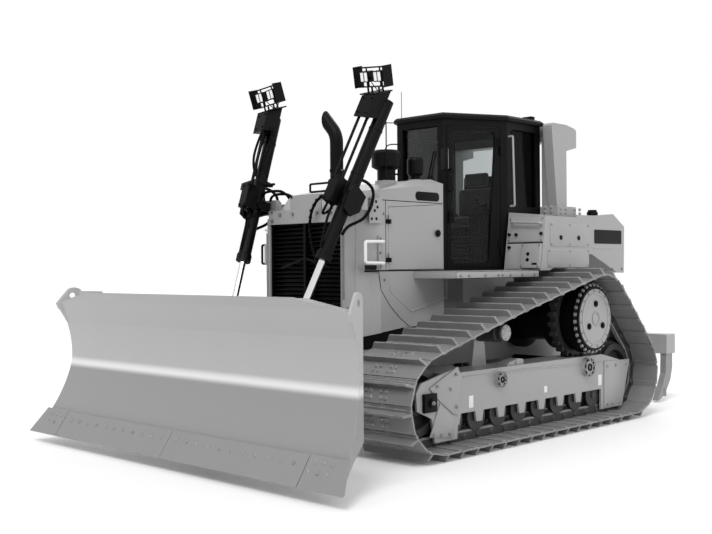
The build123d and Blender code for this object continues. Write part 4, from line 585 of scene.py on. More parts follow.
def bolts(name, places, across, finish="zinc", body="tractor"):
    return repeat(name, BOLT, places, finish, size=across, body=body)


def facing(points, out, along):
    """A place to repeat at for each point."""
    return [(point, out, along) for point in points]


def side_bolts(name, side, heads, across, finish="zinc"):
    """Bolts that face outwards on a side. Their places are given for the left."""
    bolts(name, facing(sided(heads, side), LEFT * side, FORWARD), across, finish)


def ring_of(centre, out, radius, count, first=0.0):
    """Places round a circle."""
    side = Vector(out).orthogonal().normalized()
    lift = Vector(out).cross(side)
    turns = [first + 2 * pi * k / count for k in range(count)]
    return facing([centre + radius * (side * cos(t) + lift * sin(t)) for t in turns], Vector(out), side)


# ---------------------------------------------------------------- tracks
TRACK_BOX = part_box("track_left")
TRACK_Y = (TRACK_BOX[0][1] + TRACK_BOX[1][1]) / 2
TIP_IN = 0.040                      # a grouser's end leans in by this
TIP_WIDE = 0.020                    # its tip's width along the chain
TIP_AHEAD = 0.042                   # pin to the middle of the grouser's tip, along the shoe
TIP_LEVEL = 0.115                   # pin line to the tip
PLATE_LEVEL = 0.053                 # pin line to the outside of a shoe's plate
LINK_SIDE = 0.104                   # track centre to the outer side of each strand of links
LINK_ROUND = 0.036                  # radius of a link's ends
PITCH = 0.2032


def shoe_frames():
    """Each left shoe's pin, the direction along its plate and the direction away from the chain."""
    low, high = TRACK_BOX
    centre = Vector(((low[0] + high[0]) / 2, 0, (low[2] + high[2]) / 2))
    ends = sorted({(round(v.co.x, 4), round(v.co.z, 4)) for v in nodes["track_left"].data.vertices
                   if abs(v.co.y - low[1] - TIP_IN) < 1e-4})
    corners = [Vector((x, 0, z)) for x, z in ends]
    frames = []
    while corners:
        one = corners.pop()
        two = min(corners, key=lambda other: abs((other - one).length - TIP_WIDE))
        corners.remove(two)
        middle = (one + two) / 2
        out = (two - one).cross(LEFT).normalized()
        if out.dot(middle - centre) < 0:
            out = -out
        along = LEFT.cross(out)
        frames.append((middle - along * TIP_AHEAD - out * TIP_LEVEL + LEFT * TRACK_Y, along, out))
    return frames


def shoe_lip(bm):
    """The lip under a shoe's rear edge, which closes the gap to the next shoe."""
    block(bm, (-0.022, -0.388, 0.030), (0.030, 0.388, 0.0395))


def link_cheek(bm):
    """One link's outer side plate between its two pins, local X along the chain and Z outwards from it."""
    outline = []
    for x, first in ((PITCH, -pi / 2), (0, pi / 2)):
        turns = [first + k * pi / 8 for k in range(9)]
        outline += [(x + LINK_ROUND * cos(t), LINK_ROUND * sin(t), 0) for t in turns]
    prism(bm, outline, (0, 0, 0.006))
    for x, low, high, radius, sides in (
        (PITCH, 0.004, 0.016, 0.033, 18), (PITCH, 0.014, 0.020, 0.021, 14), (0, 0.004, 0.012, 0.030, 18),
    ):
        drum(bm, (x, 0, low), (x, 0, high), radius, sides)


SHOES = shoe_frames()
LIP = template("shoe_lip", shoe_lip)
CHEEK = template("link_cheek", link_cheek)


def track(side, word):
    """Shoe bolts, shoe lips and link cheeks on a chain."""
    shoes = [(mirrored(pin, side), along, out) for pin, along, out in SHOES]
    heads = [(pin + along * x + LEFT * y + out * (PLATE_LEVEL - 0.001), out, along)
             for pin, along, out in shoes for x in (0.100, 0.155) for y in (-0.112, -0.056, 0.056, 0.112)]
    cheeks = [(pin + LEFT * way * LINK_SIDE, LEFT * way, along)
              for pin, along, out in shoes for way in (-1, 1)]
    bolts("shoe_bolts_" + word, heads, 0.026, "track")
    repeat("shoe_lips_" + word, LIP, [(pin, out, along) for pin, along, out in shoes], "track")
    repeat("link_cheeks_" + word, CHEEK, cheeks, "forged", smooth=True)


# ---------------------------------------------------------------- drives and roller frames
DRIVE = Vector((-1.004, 1.400, 1.078))      # middle of the left drive cover's face
PLUG_RING = 0.150                           # radius of the circle that its plugs are on
CARRIER = Vector((0.450, 1.334, 1.006))     # face of the left carrier's cap


def drive(side, word):
    """The light cover of a final drive, its bolts and its three plugs, and the carrier's cap."""
    out = LEFT * side
    at = mirrored(DRIVE, side)
    cap = mirrored(CARRIER, side)

    def cover(bm):
        boss(bm, at, out, -0.010, 0.004, 0.300, 72)
        boss(bm, at, out, 0.003, 0.012, 0.262, 72, 0.244)
        boss(bm, at, out, 0.003, 0.014, 0.070, 40, 0.060)

    def plugs(bm):
        for turn in (90, 210, 330):
            place = at + PLUG_RING * (FORWARD * cos(radians(turn)) + UP * sin(radians(turn)))
            boss(bm, place, out, 0, 0.024, 0.020, 6)

    def carrier(bm):
        boss(bm, cap, out, -0.012, 0.006, 0.072, 40)
        boss(bm, cap, out, 0.005, 0.010, 0.030, 24)

    shape("drive_cover_" + word, cover, bevel=0.002)
    bolts("drive_ring_bolts_" + word, ring_of(at - out * 0.035, out, 0.337, 30), 0.030, "edge")
    bolts("drive_cap_bolts_" + word, ring_of(at + out * 0.003, out, 0.282, 16, 0.1), 0.016)
    shape("drive_plugs_" + word, plugs, "plastic", 0.001)
    shape("carrier_cap_" + word, carrier, bevel=0.002)
    bolts("carrier_bolts_" + word, ring_of(cap + out * 0.005, out, 0.056, 6), 0.012)


FRAME_Y = 1.298                     # outer face of the left roller frame
FRAME_SUNK = 0.001                  # what is welded to it starts this deep
ELBOW_Y = 1.262                     # outer face of the elbow that stands inside the frame
CAP_Y = 1.343                       # the face that its round caps stand on
FRAME_CAPS = ((0.524, 0.585, 0.070), (-0.985, 0.581, 0.092))            # x, z and radius
FRAME_PLATES = (                    # name, outline in x and z, thickness and finish
    ("nose_upper", [(1.515, 0.589), (1.141, 0.744), (1.096, 0.692), (1.129, 0.326), (1.198, 0.344),
                    (1.380, 0.470)], 0.014, "panel"),
    ("nose_lower", [(1.374, 0.455), (1.181, 0.288), (1.200, 0.139), (1.510, 0.178)], 0.012, "panel"),
    ("tail", [(-1.336, 0.614), (-1.859, 0.603), (-1.691, 0.118), (-1.329, 0.131)], 0.012, "panel"),
    ("label_front", square(0.900, 0.367, 0.964, 0.475), 0.003, "pale_plate"),
    ("label_middle", square(-0.273, 0.391, -0.222, 0.453), 0.003, "pale_plate"),
    ("label_rear", square(-1.290, 0.370, -1.225, 0.481), 0.003, "pale_plate"),
)
FRAME_BOLTS = (                     # stand-off, and places in x and z
    (0.011, ((1.470, 0.196), (1.370, 0.186), (1.250, 0.176), (-1.380, 0.165), (-1.482, 0.160),
             (-1.612, 0.158), (-1.380, 0.560), (-1.560, 0.560), (-1.760, 0.560))),
    (0.013, ((1.240, 0.560), (1.160, 0.400), (1.160, 0.680), (1.420, 0.600))),
    (0.045, ((1.507, 0.469),)),
)


def roller_frame(side, word):
    """What is welded and bolted to the outer side of a roller frame."""
    out = LEFT * side
    for name, outline, thick, finish in FRAME_PLATES:
        shape(f"frame_{name}_{word}", on_side(side, FRAME_Y, outline, thick, FRAME_SUNK), finish, 0.002)
    low = [(1.040, 0.640), (0.179, 0.629), (0.138, 0.638), (-0.827, 0.612), (-1.290, 0.604)]
    seam = low + [(x, z + 0.012) for x, z in reversed(low)]

    def caps(bm):
        for x, z, r in FRAME_CAPS:
            at = Vector((x, side * CAP_Y, z))
            boss(bm, at, out, 0, 0.006, r, 40, r - 0.022)
            boss(bm, at, out, 0, 0.010, r * 0.42, 28, r * 0.2)

    def tensioner(bm):
        face = FRAME_Y - FRAME_SUNK
        side_block(bm, side, (1.434, 1.600), (face, face + 0.03), (0.391, 0.547))
        boss(bm, mirrored((1.507, face, 0.469), side), out, 0, 0.045, 0.040, 28)

    def elbow(bm):
        outline = [(0.058, 0.686), (0.330, 0.686), (0.330, 0.700), (0.290, 0.722), (0.150, 0.748),
                   (0.074, 0.738)]
        on_side(side, ELBOW_Y - 0.112, outline, 0.112, 0)(bm)
        boss(bm, mirrored((0.190, ELBOW_Y, 0.716), side), out, -0.002, 0.012, 0.014, 20)

    shape("frame_seam_" + word, on_side(side, FRAME_Y, seam, 0.008, FRAME_SUNK))
    shape("frame_caps_" + word, caps, "black", 0.002)
    shape("tensioner_block_" + word, tensioner, "black", 0.004)
    shape("frame_elbow_" + word, elbow, bevel=0.006)
    heads = [(x, side * (FRAME_Y + stand), z) for stand, places in FRAME_BOLTS for x, z in places]
    heads = facing(heads, out, FORWARD)
    for x, z, r in FRAME_CAPS:
        heads += ring_of(Vector((x, side * (CAP_Y + 0.005), z)), out, r - 0.011, 8, 0.2)
    bolts("frame_bolts_" + word, heads, 0.024, "track")


# ---------------------------------------------------------------- hood and front guard
HOOD_Y = 0.600
SEAM = 0.0018                       # how far the dark line of a seam stands out
NOSE_REAR = (1.334, HOOD_Y)         # the nose panel's ends in plan, x and y
NOSE_FRONT = (1.566, 0.508)
GUARD_FRONT = 1.722
GRILLE_FRONT = 1.7035


def nose_panel(side, word):
    """The panel that carries the hood's side on to the front guard."""
    outline = [(*NOSE_REAR, 1.020), (*NOSE_FRONT, 0.985), (*NOSE_FRONT, 2.150), (*NOSE_REAR, 2.305)]
    shape("nose_panel_" + word, lambda bm: prism(bm, sided(outline, side), (0, -side * 0.008, 0)))


def hood_side(side, word):
    """The side panels' presses and seams, the door's frame and latch, plates, grab handle and bracket."""
    out = LEFT * side
    lower = [(1.552, 1.575), (1.362, 1.572), (1.337, 1.409), (1.217, 1.261), (1.081, 1.146), (0.955, 1.066)]
    press = [(1.214, 1.545), (1.216, 1.398), (0.926, 1.200), (0.397, 1.311), (0.394, 1.540)]
    for name, outline, thick, finish in (
        ("rib", strip(press, 0.012), 0.004, "panel"),
        ("lower_seam", strip(lower, 0.007), SEAM, "plate"),
        ("door_seam", strip([(0.100, 1.583), (1.555, 1.583)], 0.012), SEAM, "plate"),
        ("top_seam", strip([(0.450, 2.224), (1.555, 2.224)], 0.007), SEAM, "plate"),
        ("front_seam", strip([(1.268, 1.590), (1.268, 2.220)], 0.006), SEAM, "plate"),
        ("plate_small", rounded(1.394, 1.592, 1.548, 1.634, 0.006), 0.003, "plate"),
        ("plate_long", rounded(0.500, 2.240, 0.850, 2.325, 0.038), 0.003, "plate"),
        ("bracket", rounded(1.330, 1.600, 1.372, 1.900, 0.010), 0.010, "panel"),
    ):
        bevel = 0 if thick == SEAM else min(0.0015, thick / 3)
        shape(f"hood_{name}_{word}", on_side(side, HOOD_Y, outline, thick), finish, bevel)

    loop = [(1.350, HOOD_Y, 1.845), (1.350, 0.660, 1.845), (1.606, 0.664, 1.842), (1.606, 0.664, 1.655),
            (1.350, 0.660, 1.650), (1.350, HOOD_Y, 1.650)]
    ear = [(1.320, 2.010), (1.490, 2.010), (1.490, 2.100), (1.440, 2.235), (1.320, 2.250)]

    # painted shade: black discs where the ear's holes are
    def ear_holes(bm):
        for x, z in ((1.421, 2.123), (1.461, 2.049), (1.401, 2.051), (1.385, 2.155), (1.404, 2.205)):
            boss(bm, mirrored((x, 0.606, z), side), out, 0, 0.0045, 0.014, 20)

    def latch(bm):
        boss(bm, mirrored((0.540, 0.6135, 1.935), side), out, 0, 0.010, 0.034, 32)
        side_block(bm, side, (0.512, 0.568), (0.6135, 0.6315), (1.929, 1.941))

    handrail("hood_handle_" + word, sided(loop, side), 0.015, "pale_plate")
    shape("hood_ear_" + word, on_side(side, 0.601, ear, 0.008, 0), bevel=0.002)
    shape("hood_ear_holes_" + word, ear_holes, "plate")
    heads = [(1.350, 0.610, 1.875), (1.350, 0.610, 1.745), (1.350, 0.610, 1.620), (1.290, 0.6005, 2.100),
             (1.290, 0.6005, 1.500), (0.150, 0.6005, 1.520), (0.150, 0.6005, 1.120), (0.650, 0.6005, 1.100)]
    side_bolts("hood_bolts_" + word, side, heads, 0.018)
    shape("door_latch_" + word, latch, "plastic", 0.002, "service_door_" + word)


def nose():
    """Front guard: its bolts, handles and the strips painted as highlights along its side edges, and the
    bars on the grille behind it.
    """
    heads = [(-0.325, 2.112), (-0.152, 2.113), (0.171, 2.114), (0.353, 2.107)]
    pairs = ((0.440, 2.150), (0.430, 2.060), (0.560, 1.250), (0.560, 1.000), (0.420, 0.930), (0.140, 0.930))
    heads += [(way * y, z) for y, z in pairs for way in (-1, 1)]

    # painted highlight: bare steel strips where light catches the guard's side edges
    def edges(bm):
        for side in (1, -1):
            outline = [(GUARD_FRONT - 0.003, side * y, z)
                       for y, z in ((0.492, 1.330), (0.520, 1.330), (0.520, 1.950), (0.492, 1.930))]
            prism(bm, outline, (0.006, 0, 0))

    def bars(bm):
        for side in (1, -1):
            chevron = [(GRILLE_FRONT, y, z)
                       for y, z in ((0, 1.715), (side * 0.320, 1.625), (side * 0.320, 1.601), (0, 1.691))]
            prism(bm, chevron, (0.010, 0, 0))
        prism(bm, [(GRILLE_FRONT, y, z) for y, z in square(-0.014, 1.000, 0.014, 2.010)], (0.013, 0, 0))

    def knobs(bm):
        for side in (1, -1):
            boss(bm, Vector((GUARD_FRONT, side * 0.507, 1.975)), FORWARD, -0.002, 0.022, 0.012, 20)

    def caps(bm):
        for y in (-0.3, 0.3):
            drum(bm, (1.62, y, 2.286), (1.62, y, 2.300), 0.030, 24)
            drum(bm, (1.62, y, 2.299), (1.62, y, 2.306), 0.016, 6)

    bolts("guard_bolts", facing([(GUARD_FRONT, y, z) for y, z in heads], FORWARD, LEFT), 0.026)
    grip("guard_top_handle", (1.690, 0.330, 2.378), (1.690, 0.330, 2.306), (0, -0.275, 0), 0.010, "black")
    blocks("guard_top_manifold", [((1.650, 0.310, 2.286), (1.715, 0.425, 2.400))], "black", 0.006)
    grip("guard_side_handle", (1.600, -0.640, 1.837), (1.600, -0.640, 1.657), (0, -0.085, 0), 0.011, "black")
    shape("guard_bright_edges", edges, "edge", 0.002)
    shape("grille_bars", bars, "plastic", 0.0015)
    shape("guard_knobs", knobs, "pale_plate", 0.003)
    shape("guard_top_caps", caps, "black", 0.002)


def chimney():
    """Exhaust rim and clamp, the aerial, and the pole on the hood with its brace."""
    low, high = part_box("exhaust")
    x = (low[0] + high[0]) / 2

    def rims(bm):
        drum(bm, (x, 0, 2.520), (x, 0, 2.546), 0.068, 36)
        drum(bm, (x, 0, 2.440), (x, 0, 2.452), 0.076, 36)

    shape("exhaust_clamp", rims, "black", 0.003)
    bolts("exhaust_clamp_bolts", [((x, way * 0.066, 2.533), LEFT * way, FORWARD) for way in (1, -1)], 0.014)
    tube("antenna", [(0.354, 0, 3.060), (0.354, 0, 3.389)], 0.003, order=2)
    tube("hood_pole", [(0.921, 0.300, 2.470), (0.921, 0.300, 2.998)], 0.006, "black", order=2)
    tube("hood_pole_brace", [(0.921, 0.300, 2.990), (0.749, 0.300, 3.005)], 0.005, "black", order=2)


# ---------------------------------------------------------------- lift cylinders, their hoses and lamps
LAMP_X = (-0.080, 0.080)            # middles of a pair of lamps
LAMP_TILT = radians(5.5)            # the pair's outer end hangs by this
LAMP_AIM = radians(15)              # the light goes down by this


def placed(across, ahead, along, at):
    """A matrix with these three axes at a point."""
    return Matrix.Translation(at) @ Matrix((across, ahead, along)).transposed().to_4x4()


def lift_matrix(side):
    """A lift cylinder's own axes from its pitch axis: X across it and outwards, Y ahead, Z down its rod."""
    word = "left" if side > 0 else "right"
    pitch = joints["lift_pitch_" + word]
    down = Vector(joints["lift_slide_" + word]["axis"])
    across = Vector(pitch["axis"])
    across -= down * across.dot(down)
    across.normalize()
    if across.y * side < 0:
        across = -across
    return placed(across, down.cross(across) * side, down, Vector(pitch["pos_m"]))


def lamp_matrix(side):
    """Middle of a lamp pair: local X outwards, Z along their light."""
    across = Vector((0, cos(LAMP_TILT) * side, -sin(LAMP_TILT)))
    fall = sin(LAMP_AIM)
    look = Vector((cos(LAMP_AIM), -fall * sin(LAMP_TILT) * side, -fall * cos(LAMP_TILT)))
    return placed(across, look.cross(across) * side, look, (1.568, 0.707 * side, 3.290))


def lamps(side, word):
    """Two work lamps on a lift cylinder: bezel, a lens painted near-white as a painted reflection, the bar
    over it and wires.
    """
    body = "lift_barrel_" + word
    at = lamp_matrix(side)
    rim = ((-0.049, -0.047, 0.049, -0.039), (-0.049, 0.039, 0.049, 0.047), (-0.049, -0.040, -0.041, 0.040),
           (0.041, -0.040, 0.049, 0.040))
    for name, parts, back, front, finish, bevel in (
        ("bezels", rim, -0.002, 0.005, "plastic", 0.001),
        # the reflectors' near-white colour is a painted reflection of the white studio
        ("reflectors", ((-0.0405, -0.0385, 0.0405, 0.0385),), -0.004, 0.003, "painted_reflection", 0),
        ("bars", ((-0.004, -0.0385, 0.004, 0.0385),), 0.0025, 0.0055, "plastic", 0),
    ):
        boxes = [((x + x0, y0, back), (x + x1, y1, front)) for x in LAMP_X for x0, y0, x1, y1 in parts]
        blocks(f"lamp_{name}_{word}", boxes, finish, bevel, body, at)
    for name, wire in (
        ("outer", [(0.080, -0.030, -0.072), (0.080, -0.070, -0.100), (0.040, -0.120, -0.105),
                   (0.0, -0.139, -0.070)]),
        ("inner", [(-0.080, -0.030, -0.072), (-0.080, -0.075, -0.098), (-0.040, -0.120, -0.100),
                   (0.0, -0.139, -0.075)]),
    ):
        tube(f"lamp_wire_{name}_{word}", carried(wire, at), 0.0045, "rubber", body)


LIFT_RINGS = (                      # start in the cylinder's axes, length, radius, sides, inner radius
    (0, 0, 0.541, 0.030, 0.066, 40, 0.058), (0, 0, 0.494, 0.012, 0.063, 40, 0.058),
    (0, 0, -0.700, 0.020, 0.064, 40, 0.058), (0, 0, -0.261, 0.022, 0.063, 40, 0.058),
    (-0.086, 0.163, -0.765, 0.030, 0.019, 6, None), (-0.086, 0.163, -0.165, 0.030, 0.019, 6, None),
    (-0.031, 0.120, -0.765, 0.030, 0.019, 6, None), (-0.031, 0.120, -0.165, 0.030, 0.019, 6, None),
    (-0.046, 0.100, 0.088, 0.016, 0.024, 6, None), (-0.046, 0.160, 0.088, 0.016, 0.024, 6, None),
)


def lift_trim(side, word):
    """Bolts, bands and pipes on a lift cylinder, and the hose that loops forward from it."""
    body = "lift_barrel_" + word
    at = lift_matrix(side)
    heads = [(x, 0.198, z) for x in (-0.095, 0.005) for z in (-1.095, -0.900, -0.760)]
    heads += [(x, 0.193, z) for x in (-0.080, -0.012) for z in (-0.130, 0.070)]
    heads = facing(carried(heads, at), at.col[1].xyz, at.col[0].xyz)
    bolts("lift_cover_bolts_" + word, heads, 0.016, "black", body)

    def bands(bm):
        for x, y, z, long, radius, sides, inner in LIFT_RINGS:
            drum(bm, *carried([(x, y, z), (x, y, z + long)], at), radius, sides, inner)

    shape("lift_bands_" + word, bands, "black", 0.0015, body)
    for name, pipe in (
        ("rear", [(-0.046, 0.100, 0.095), (-0.046, 0.100, 0.170), (-0.040, 0.085, 0.300),
                  (-0.020, 0.072, 0.420), (-0.010, 0.062, 0.480)]),
        ("front", [(-0.046, 0.160, 0.095), (-0.046, 0.165, 0.150), (-0.070, 0.150, 0.210),
                   (-0.095, 0.080, 0.170), (-0.095, 0.040, 0.100)]),
    ):
        tube(f"lift_pipe_{name}_{word}", carried(pipe, at), 0.011, "rubber", body)
    loop = [(x, 0.640, z) for x, z in (
        (1.636, 2.388), (1.600, 2.380), (1.530, 2.358), (1.468, 2.300), (1.476, 2.215), (1.517, 2.124),
        (1.604, 2.038), (1.731, 1.996), (1.825, 1.960), (1.870, 1.900))]
    tube("lift_hose_" + word, sided(loop, side), 0.014, "rubber", body)


# ---------------------------------------------------------------- cab
DOOR_WAY = Vector((0.8930, -0.4500, 0))     # along the left door, from its hinge to its lock
DOOR_OUT = Vector((0.4500, 0.8930, 0))
DOOR_POINTS = [v.co for v in nodes["cab_door_left"].data.vertices]
DOOR_FRONT = max(p.dot(DOOR_WAY) for p in DOOR_POINTS)
DOOR_FACE = max(p.dot(DOOR_OUT) for p in DOOR_POINTS) - 0.014       # the leaf's face, behind its handle


def on_door(along, z, stand=0.0):
    """A point on the left door: along from its front edge towards the hinge, height and stand-off."""
    return DOOR_WAY * (DOOR_FRONT - along) + DOOR_OUT * (DOOR_FACE + stand) + UP * z


def cab_door(side, word):
    """A door's grab handle and lock."""
    body = "cab_door_" + word
    out = mirrored(DOOR_OUT, side)
    feet = [on_door(0.026, 2.600, -0.004), on_door(0.026, 2.380, -0.004)]
    grip("cab_door_handle_" + word, *sided(feet, side), out * 0.059, 0.010, "black", body)

    def lock(bm):
        plate = [on_door(along, z, -0.003) for along, z in square(0.012, 2.060, 0.066, 2.190)]
        prism(bm, sided(plate, side), out * 0.012)
        boss(bm, mirrored(on_door(0.040, 2.150, 0.006), side), out, 0, 0.022, 0.016, 20)

    shape("cab_door_lock_" + word, lock, "plastic", 0.002, body)


def cab(side, word):
    """What is fixed to the cab: rear rail, mirror on its arm, and roof lamp."""
    feet = [(-0.600, 0.628, 2.960), (-0.625, 0.628, 2.240)]
    arm = [(0.070, 0.290, 2.905), (0.150, 0.360, 2.915), (0.170, 0.400, 2.860), (0.172, 0.402, 2.800)]
    grip("cab_rail_" + word, *sided(feet, side), LEFT * side * 0.062, 0.011, "panel")
    tube("mirror_arm_" + word, sided(arm, side), 0.007, "black")
    at = Matrix.Translation(mirrored((0.176, 0.404, 2.690), side))
    at = at @ Matrix.Rotation(radians(-24 * side), 4, "Z")
    case = [((-0.022, -0.055, -0.110), (0.014, 0.055, 0.110))]
    glass = [((-0.0245, -0.047, -0.100), (-0.0225, 0.047, 0.100))]
    lamp = [((-0.050, -0.060, -0.020), (0.020, 0.060, 0.050))]
    blocks("mirror_" + word, case, "plastic", 0.010, turn=at)
    # the mirror's glass is near-white: a painted reflection of the white studio
    blocks("mirror_glass_" + word, glass, "painted_reflection", turn=at)
    at = Matrix.Translation(mirrored((-1.150, 0.500, 3.185), side))
    blocks("roof_rear_lamp_" + word, lamp, "plastic", 0.006, turn=at)


def cab_front():
    """Wiper on the front glass, ribs on the roof, a mirror inside and a display on the console."""
    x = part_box("cab_glass")[1][0]
    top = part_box("cab_shell")[1][2]
    arm = [(x + 0.030, 0.060, 2.080), (x + 0.040, 0.080, 2.300), (x + 0.020, 0.120, 2.560)]
    rubber = [(x + 0.012, 0.020, 2.300), (x + 0.016, 0.110, 2.560), (x + 0.012, 0.170, 2.800)]
    tube("wiper_arm", arm, 0.006, "black")
    tube("wiper_blade", rubber, 0.007)
    motor = Vector((x, 0.060, 2.075))
    shape("wiper_motor", lambda bm: boss(bm, motor, FORWARD, -0.002, 0.040, 0.026), "plastic", 0.003)
    ribs = [((-1.050, y - 0.012, top - 0.002), (-0.120, y + 0.012, top + 0.006)) for y in (-0.300, 0.300)]
    ribs.append(((-0.800, -0.160, top - 0.002), (-0.480, 0.160, top + 0.010)))
    blocks("roof_ribs", ribs, "black", 0.003)

    def inside(bm):
        block(bm, (-0.080, -0.120, 2.830), (-0.060, 0.060, 2.900))
        block(bm, (-0.130, -0.250, 2.240), (-0.100, -0.090, 2.370))
        drum(bm, (-0.120, -0.170, 2.150), (-0.120, -0.170, 2.250), 0.012, 16)

    shape("cab_display", inside, "plastic", 0.004)


def lever(side, word):
    """A control lever's gaiter, and the armrest behind it."""
    y = side * 0.310

    def gaiter(bm):
        for k in range(5):
            at = Vector((-0.470, side * 0.335, 2.205 + 0.012 * k))
            boss(bm, at, UP, 0, 0.008, 0.040 - 0.004 * k)

    shape("lever_gaiter_" + word, gaiter, "rubber", 0.001)
    blocks("armrest_" + word, [((-0.860, y - 0.045, 2.235), (-0.600, y + 0.045, 2.275)),
                               ((-0.760, y - 0.020, 2.140), (-0.700, y + 0.020, 2.236))], "rubber", 0.014)


# ---------------------------------------------------------------- side boxes, platforms, tank and posts
BOX_FRONT_TOP = Vector((-0.578, 0, 2.170))
BOX_FRONT_FOOT = Vector((-0.483, 0, 1.570))
BOX_OUT = LEFT.cross(BOX_FRONT_TOP - BOX_FRONT_FOOT).normalized()
BOX_SIDE = 1.100                    # outer side of the left box and of the tank
STEP_FACE = 0.041                   # how far the step stands out of the leaning front


def on_box(y, z, stand=0.0):
    """A point on the leaning front of the left side box."""
    share = (z - BOX_FRONT_FOOT.z) / (BOX_FRONT_TOP.z - BOX_FRONT_FOOT.z)
    return BOX_FRONT_FOOT.lerp(BOX_FRONT_TOP, share) + LEFT * y + BOX_OUT * stand


def box_plate(side, outline, thick, stand=0.0):
    """A function that draws an outline in y and z on a box's leaning front, at a stand-off."""
    def draw(bm):
        sunk = 0.001
        points = [mirrored(on_box(y, z, stand - sunk), side) for y, z in outline]
        prism(bm, points, mirrored(BOX_OUT * (thick + sunk), side))
    return draw


def side_box(side, word):
    """The leaning front's covers, bar, knobs and step, and the lids on the outer side."""
    out = mirrored(BOX_OUT, side)
    outward = LEFT * side
    for name, outline, thick, stand, finish, bevel in (
        ("cover", rounded(0.672, 1.860, 1.090, 2.110, 0.012), 0.008, 0, "panel", 0.002),
        ("low_cover", rounded(0.672, 1.585, 0.850, 1.840, 0.012), 0.006, 0, "panel", 0.002),
        ("strap", square(0.664, 1.846, 1.096, 1.854), 0.004, 0, "plate", 0),
        ("step", square(0.870, 1.590, 1.096, 1.834), 0.037, 0.005, "panel", 0.006),
    ):
        shape(f"box_{name}_{word}", box_plate(side, outline, thick, stand), finish, bevel)
    feet = [on_box(0.714, 2.060, 0.004), on_box(1.069, 2.040, 0.004)]
    grip("box_bar_" + word, *sided(feet, side), out * 0.046, 0.013, "panel")

    # painted shade: black discs and a slot where the step's holes are
    def holes(bm):
        for z in (1.730, 1.672):
            boss(bm, mirrored(on_box(0.955, z, STEP_FACE), side), out, 0, 0.0030, 0.019, 28)
        box_plate(side, square(1.010, 1.620, 1.070, 1.640), 0.0015, STEP_FACE + 0.001)(bm)

    def knobs(bm):
        for y, z, stand in (
            (0.690, 1.936, 0.007), (0.775, 1.934, 0.007), (1.076, 1.939, 0.007), (0.700, 1.805, 0.005),
        ):
            boss(bm, mirrored(on_box(y, z, stand), side), out, 0, 0.022, 0.016, 20)

    def lids(bm):
        for x0, z0, x1, z1 in ((-1.385, 1.815, -0.650, 2.055), (-1.385, 1.600, -0.600, 1.785)):
            on_side(side, BOX_SIDE, rounded(x0, z0, x1, z1, 0.018), 0.0055, 0.0005)(bm)

    def latches(bm):
        for x in (-1.180, -0.840):
            boss(bm, mirrored((x, BOX_SIDE, 1.905), side), outward, 0.004, 0.013, 0.024, 28)

    shape("box_step_holes_" + word, holes, "plate")
    shape("box_knobs_" + word, knobs, "plastic", 0.003)
    heads = [on_box(y, z, 0.007) for y in (0.686, 1.076) for z in (2.094, 1.876)]
    heads += [on_box(y, z, STEP_FACE) for y in (0.884, 1.082) for z in (1.818, 1.606)]
    bolts("box_bolts_" + word, facing(sided(heads, side), out, LEFT), 0.014)
    shape("box_lids_" + word, lids, bevel=0.002)
    heads = [(x, BOX_SIDE + 0.005, z) for xs, zs in (
        ((-1.365, -1.010, -0.672), (1.835, 2.035)), ((-1.365, -1.010, -0.625), (1.618, 1.768)),
    ) for x in xs for z in zs]
    side_bolts("lid_bolts_" + word, side, heads, 0.013)
    shape("lid_latches_" + word, latches, "plastic", 0.002)
    plate = rounded(-2.075, 1.850, -1.500, 2.000, 0.014)
    rib = strip([(-2.120, 1.800), (-1.455, 1.800)], 0.012)
    shape("tank_plate_" + word, on_side(side, BOX_SIDE, plate, 0.003), "plate")
    shape("tank_rib_" + word, on_side(side, BOX_SIDE, rib, 0.003), bevel=0.001)
    heads = [(x, BOX_SIDE, 1.575) for x in (-2.080, -1.870, -1.660, -1.500)]
    side_bolts("tank_bolts_" + word, side, heads, 0.020)


def tank_top():
    """Filler cap, rear lamps and rear panel."""
    rear = [(side * y, 1.900) for side in (1, -1) for y in (0.820, 0.960)]

    def cap(bm):
        drum(bm, (-1.700, 0.960, 2.150), (-1.700, 0.960, 2.200), 0.060, 40)
        drum(bm, (-1.700, 0.960, 2.199), (-1.700, 0.960, 2.222), 0.050, 12)

    def lamp(start, end, radius):
        def draw(bm):
            for y, z in rear:
                drum(bm, (start, y, z), (end, y, z), radius, 36)
        return draw

    shape("filler_cap", cap, "black", 0.003)
    shape("rear_lamps", lamp(-2.126, -2.152, 0.052), "plastic", 0.004)
    # the lenses are near-white: a painted reflection of the white studio
    shape("rear_lamp_lenses", lamp(-2.151, -2.155, 0.044), "painted_reflection")
    panel = [(-2.1285, y, z) for y, z in rounded(-0.660, 1.600, 0.660, 1.980, 0.030)]
    shape("tank_rear_panel", lambda bm: prism(bm, panel, (-0.006, 0, 0)), bevel=0.002)


def tread_stud(bm):
    """A raised diamond of the platform's tread."""
    prism(bm, [(-0.5, 0, 0), (0, -0.18, 0), (0.5, 0, 0), (0, 0.18, 0)], (0, 0, 0.09))


STUD = template("tread_stud", tread_stud)
STUD_GAP = 0.052


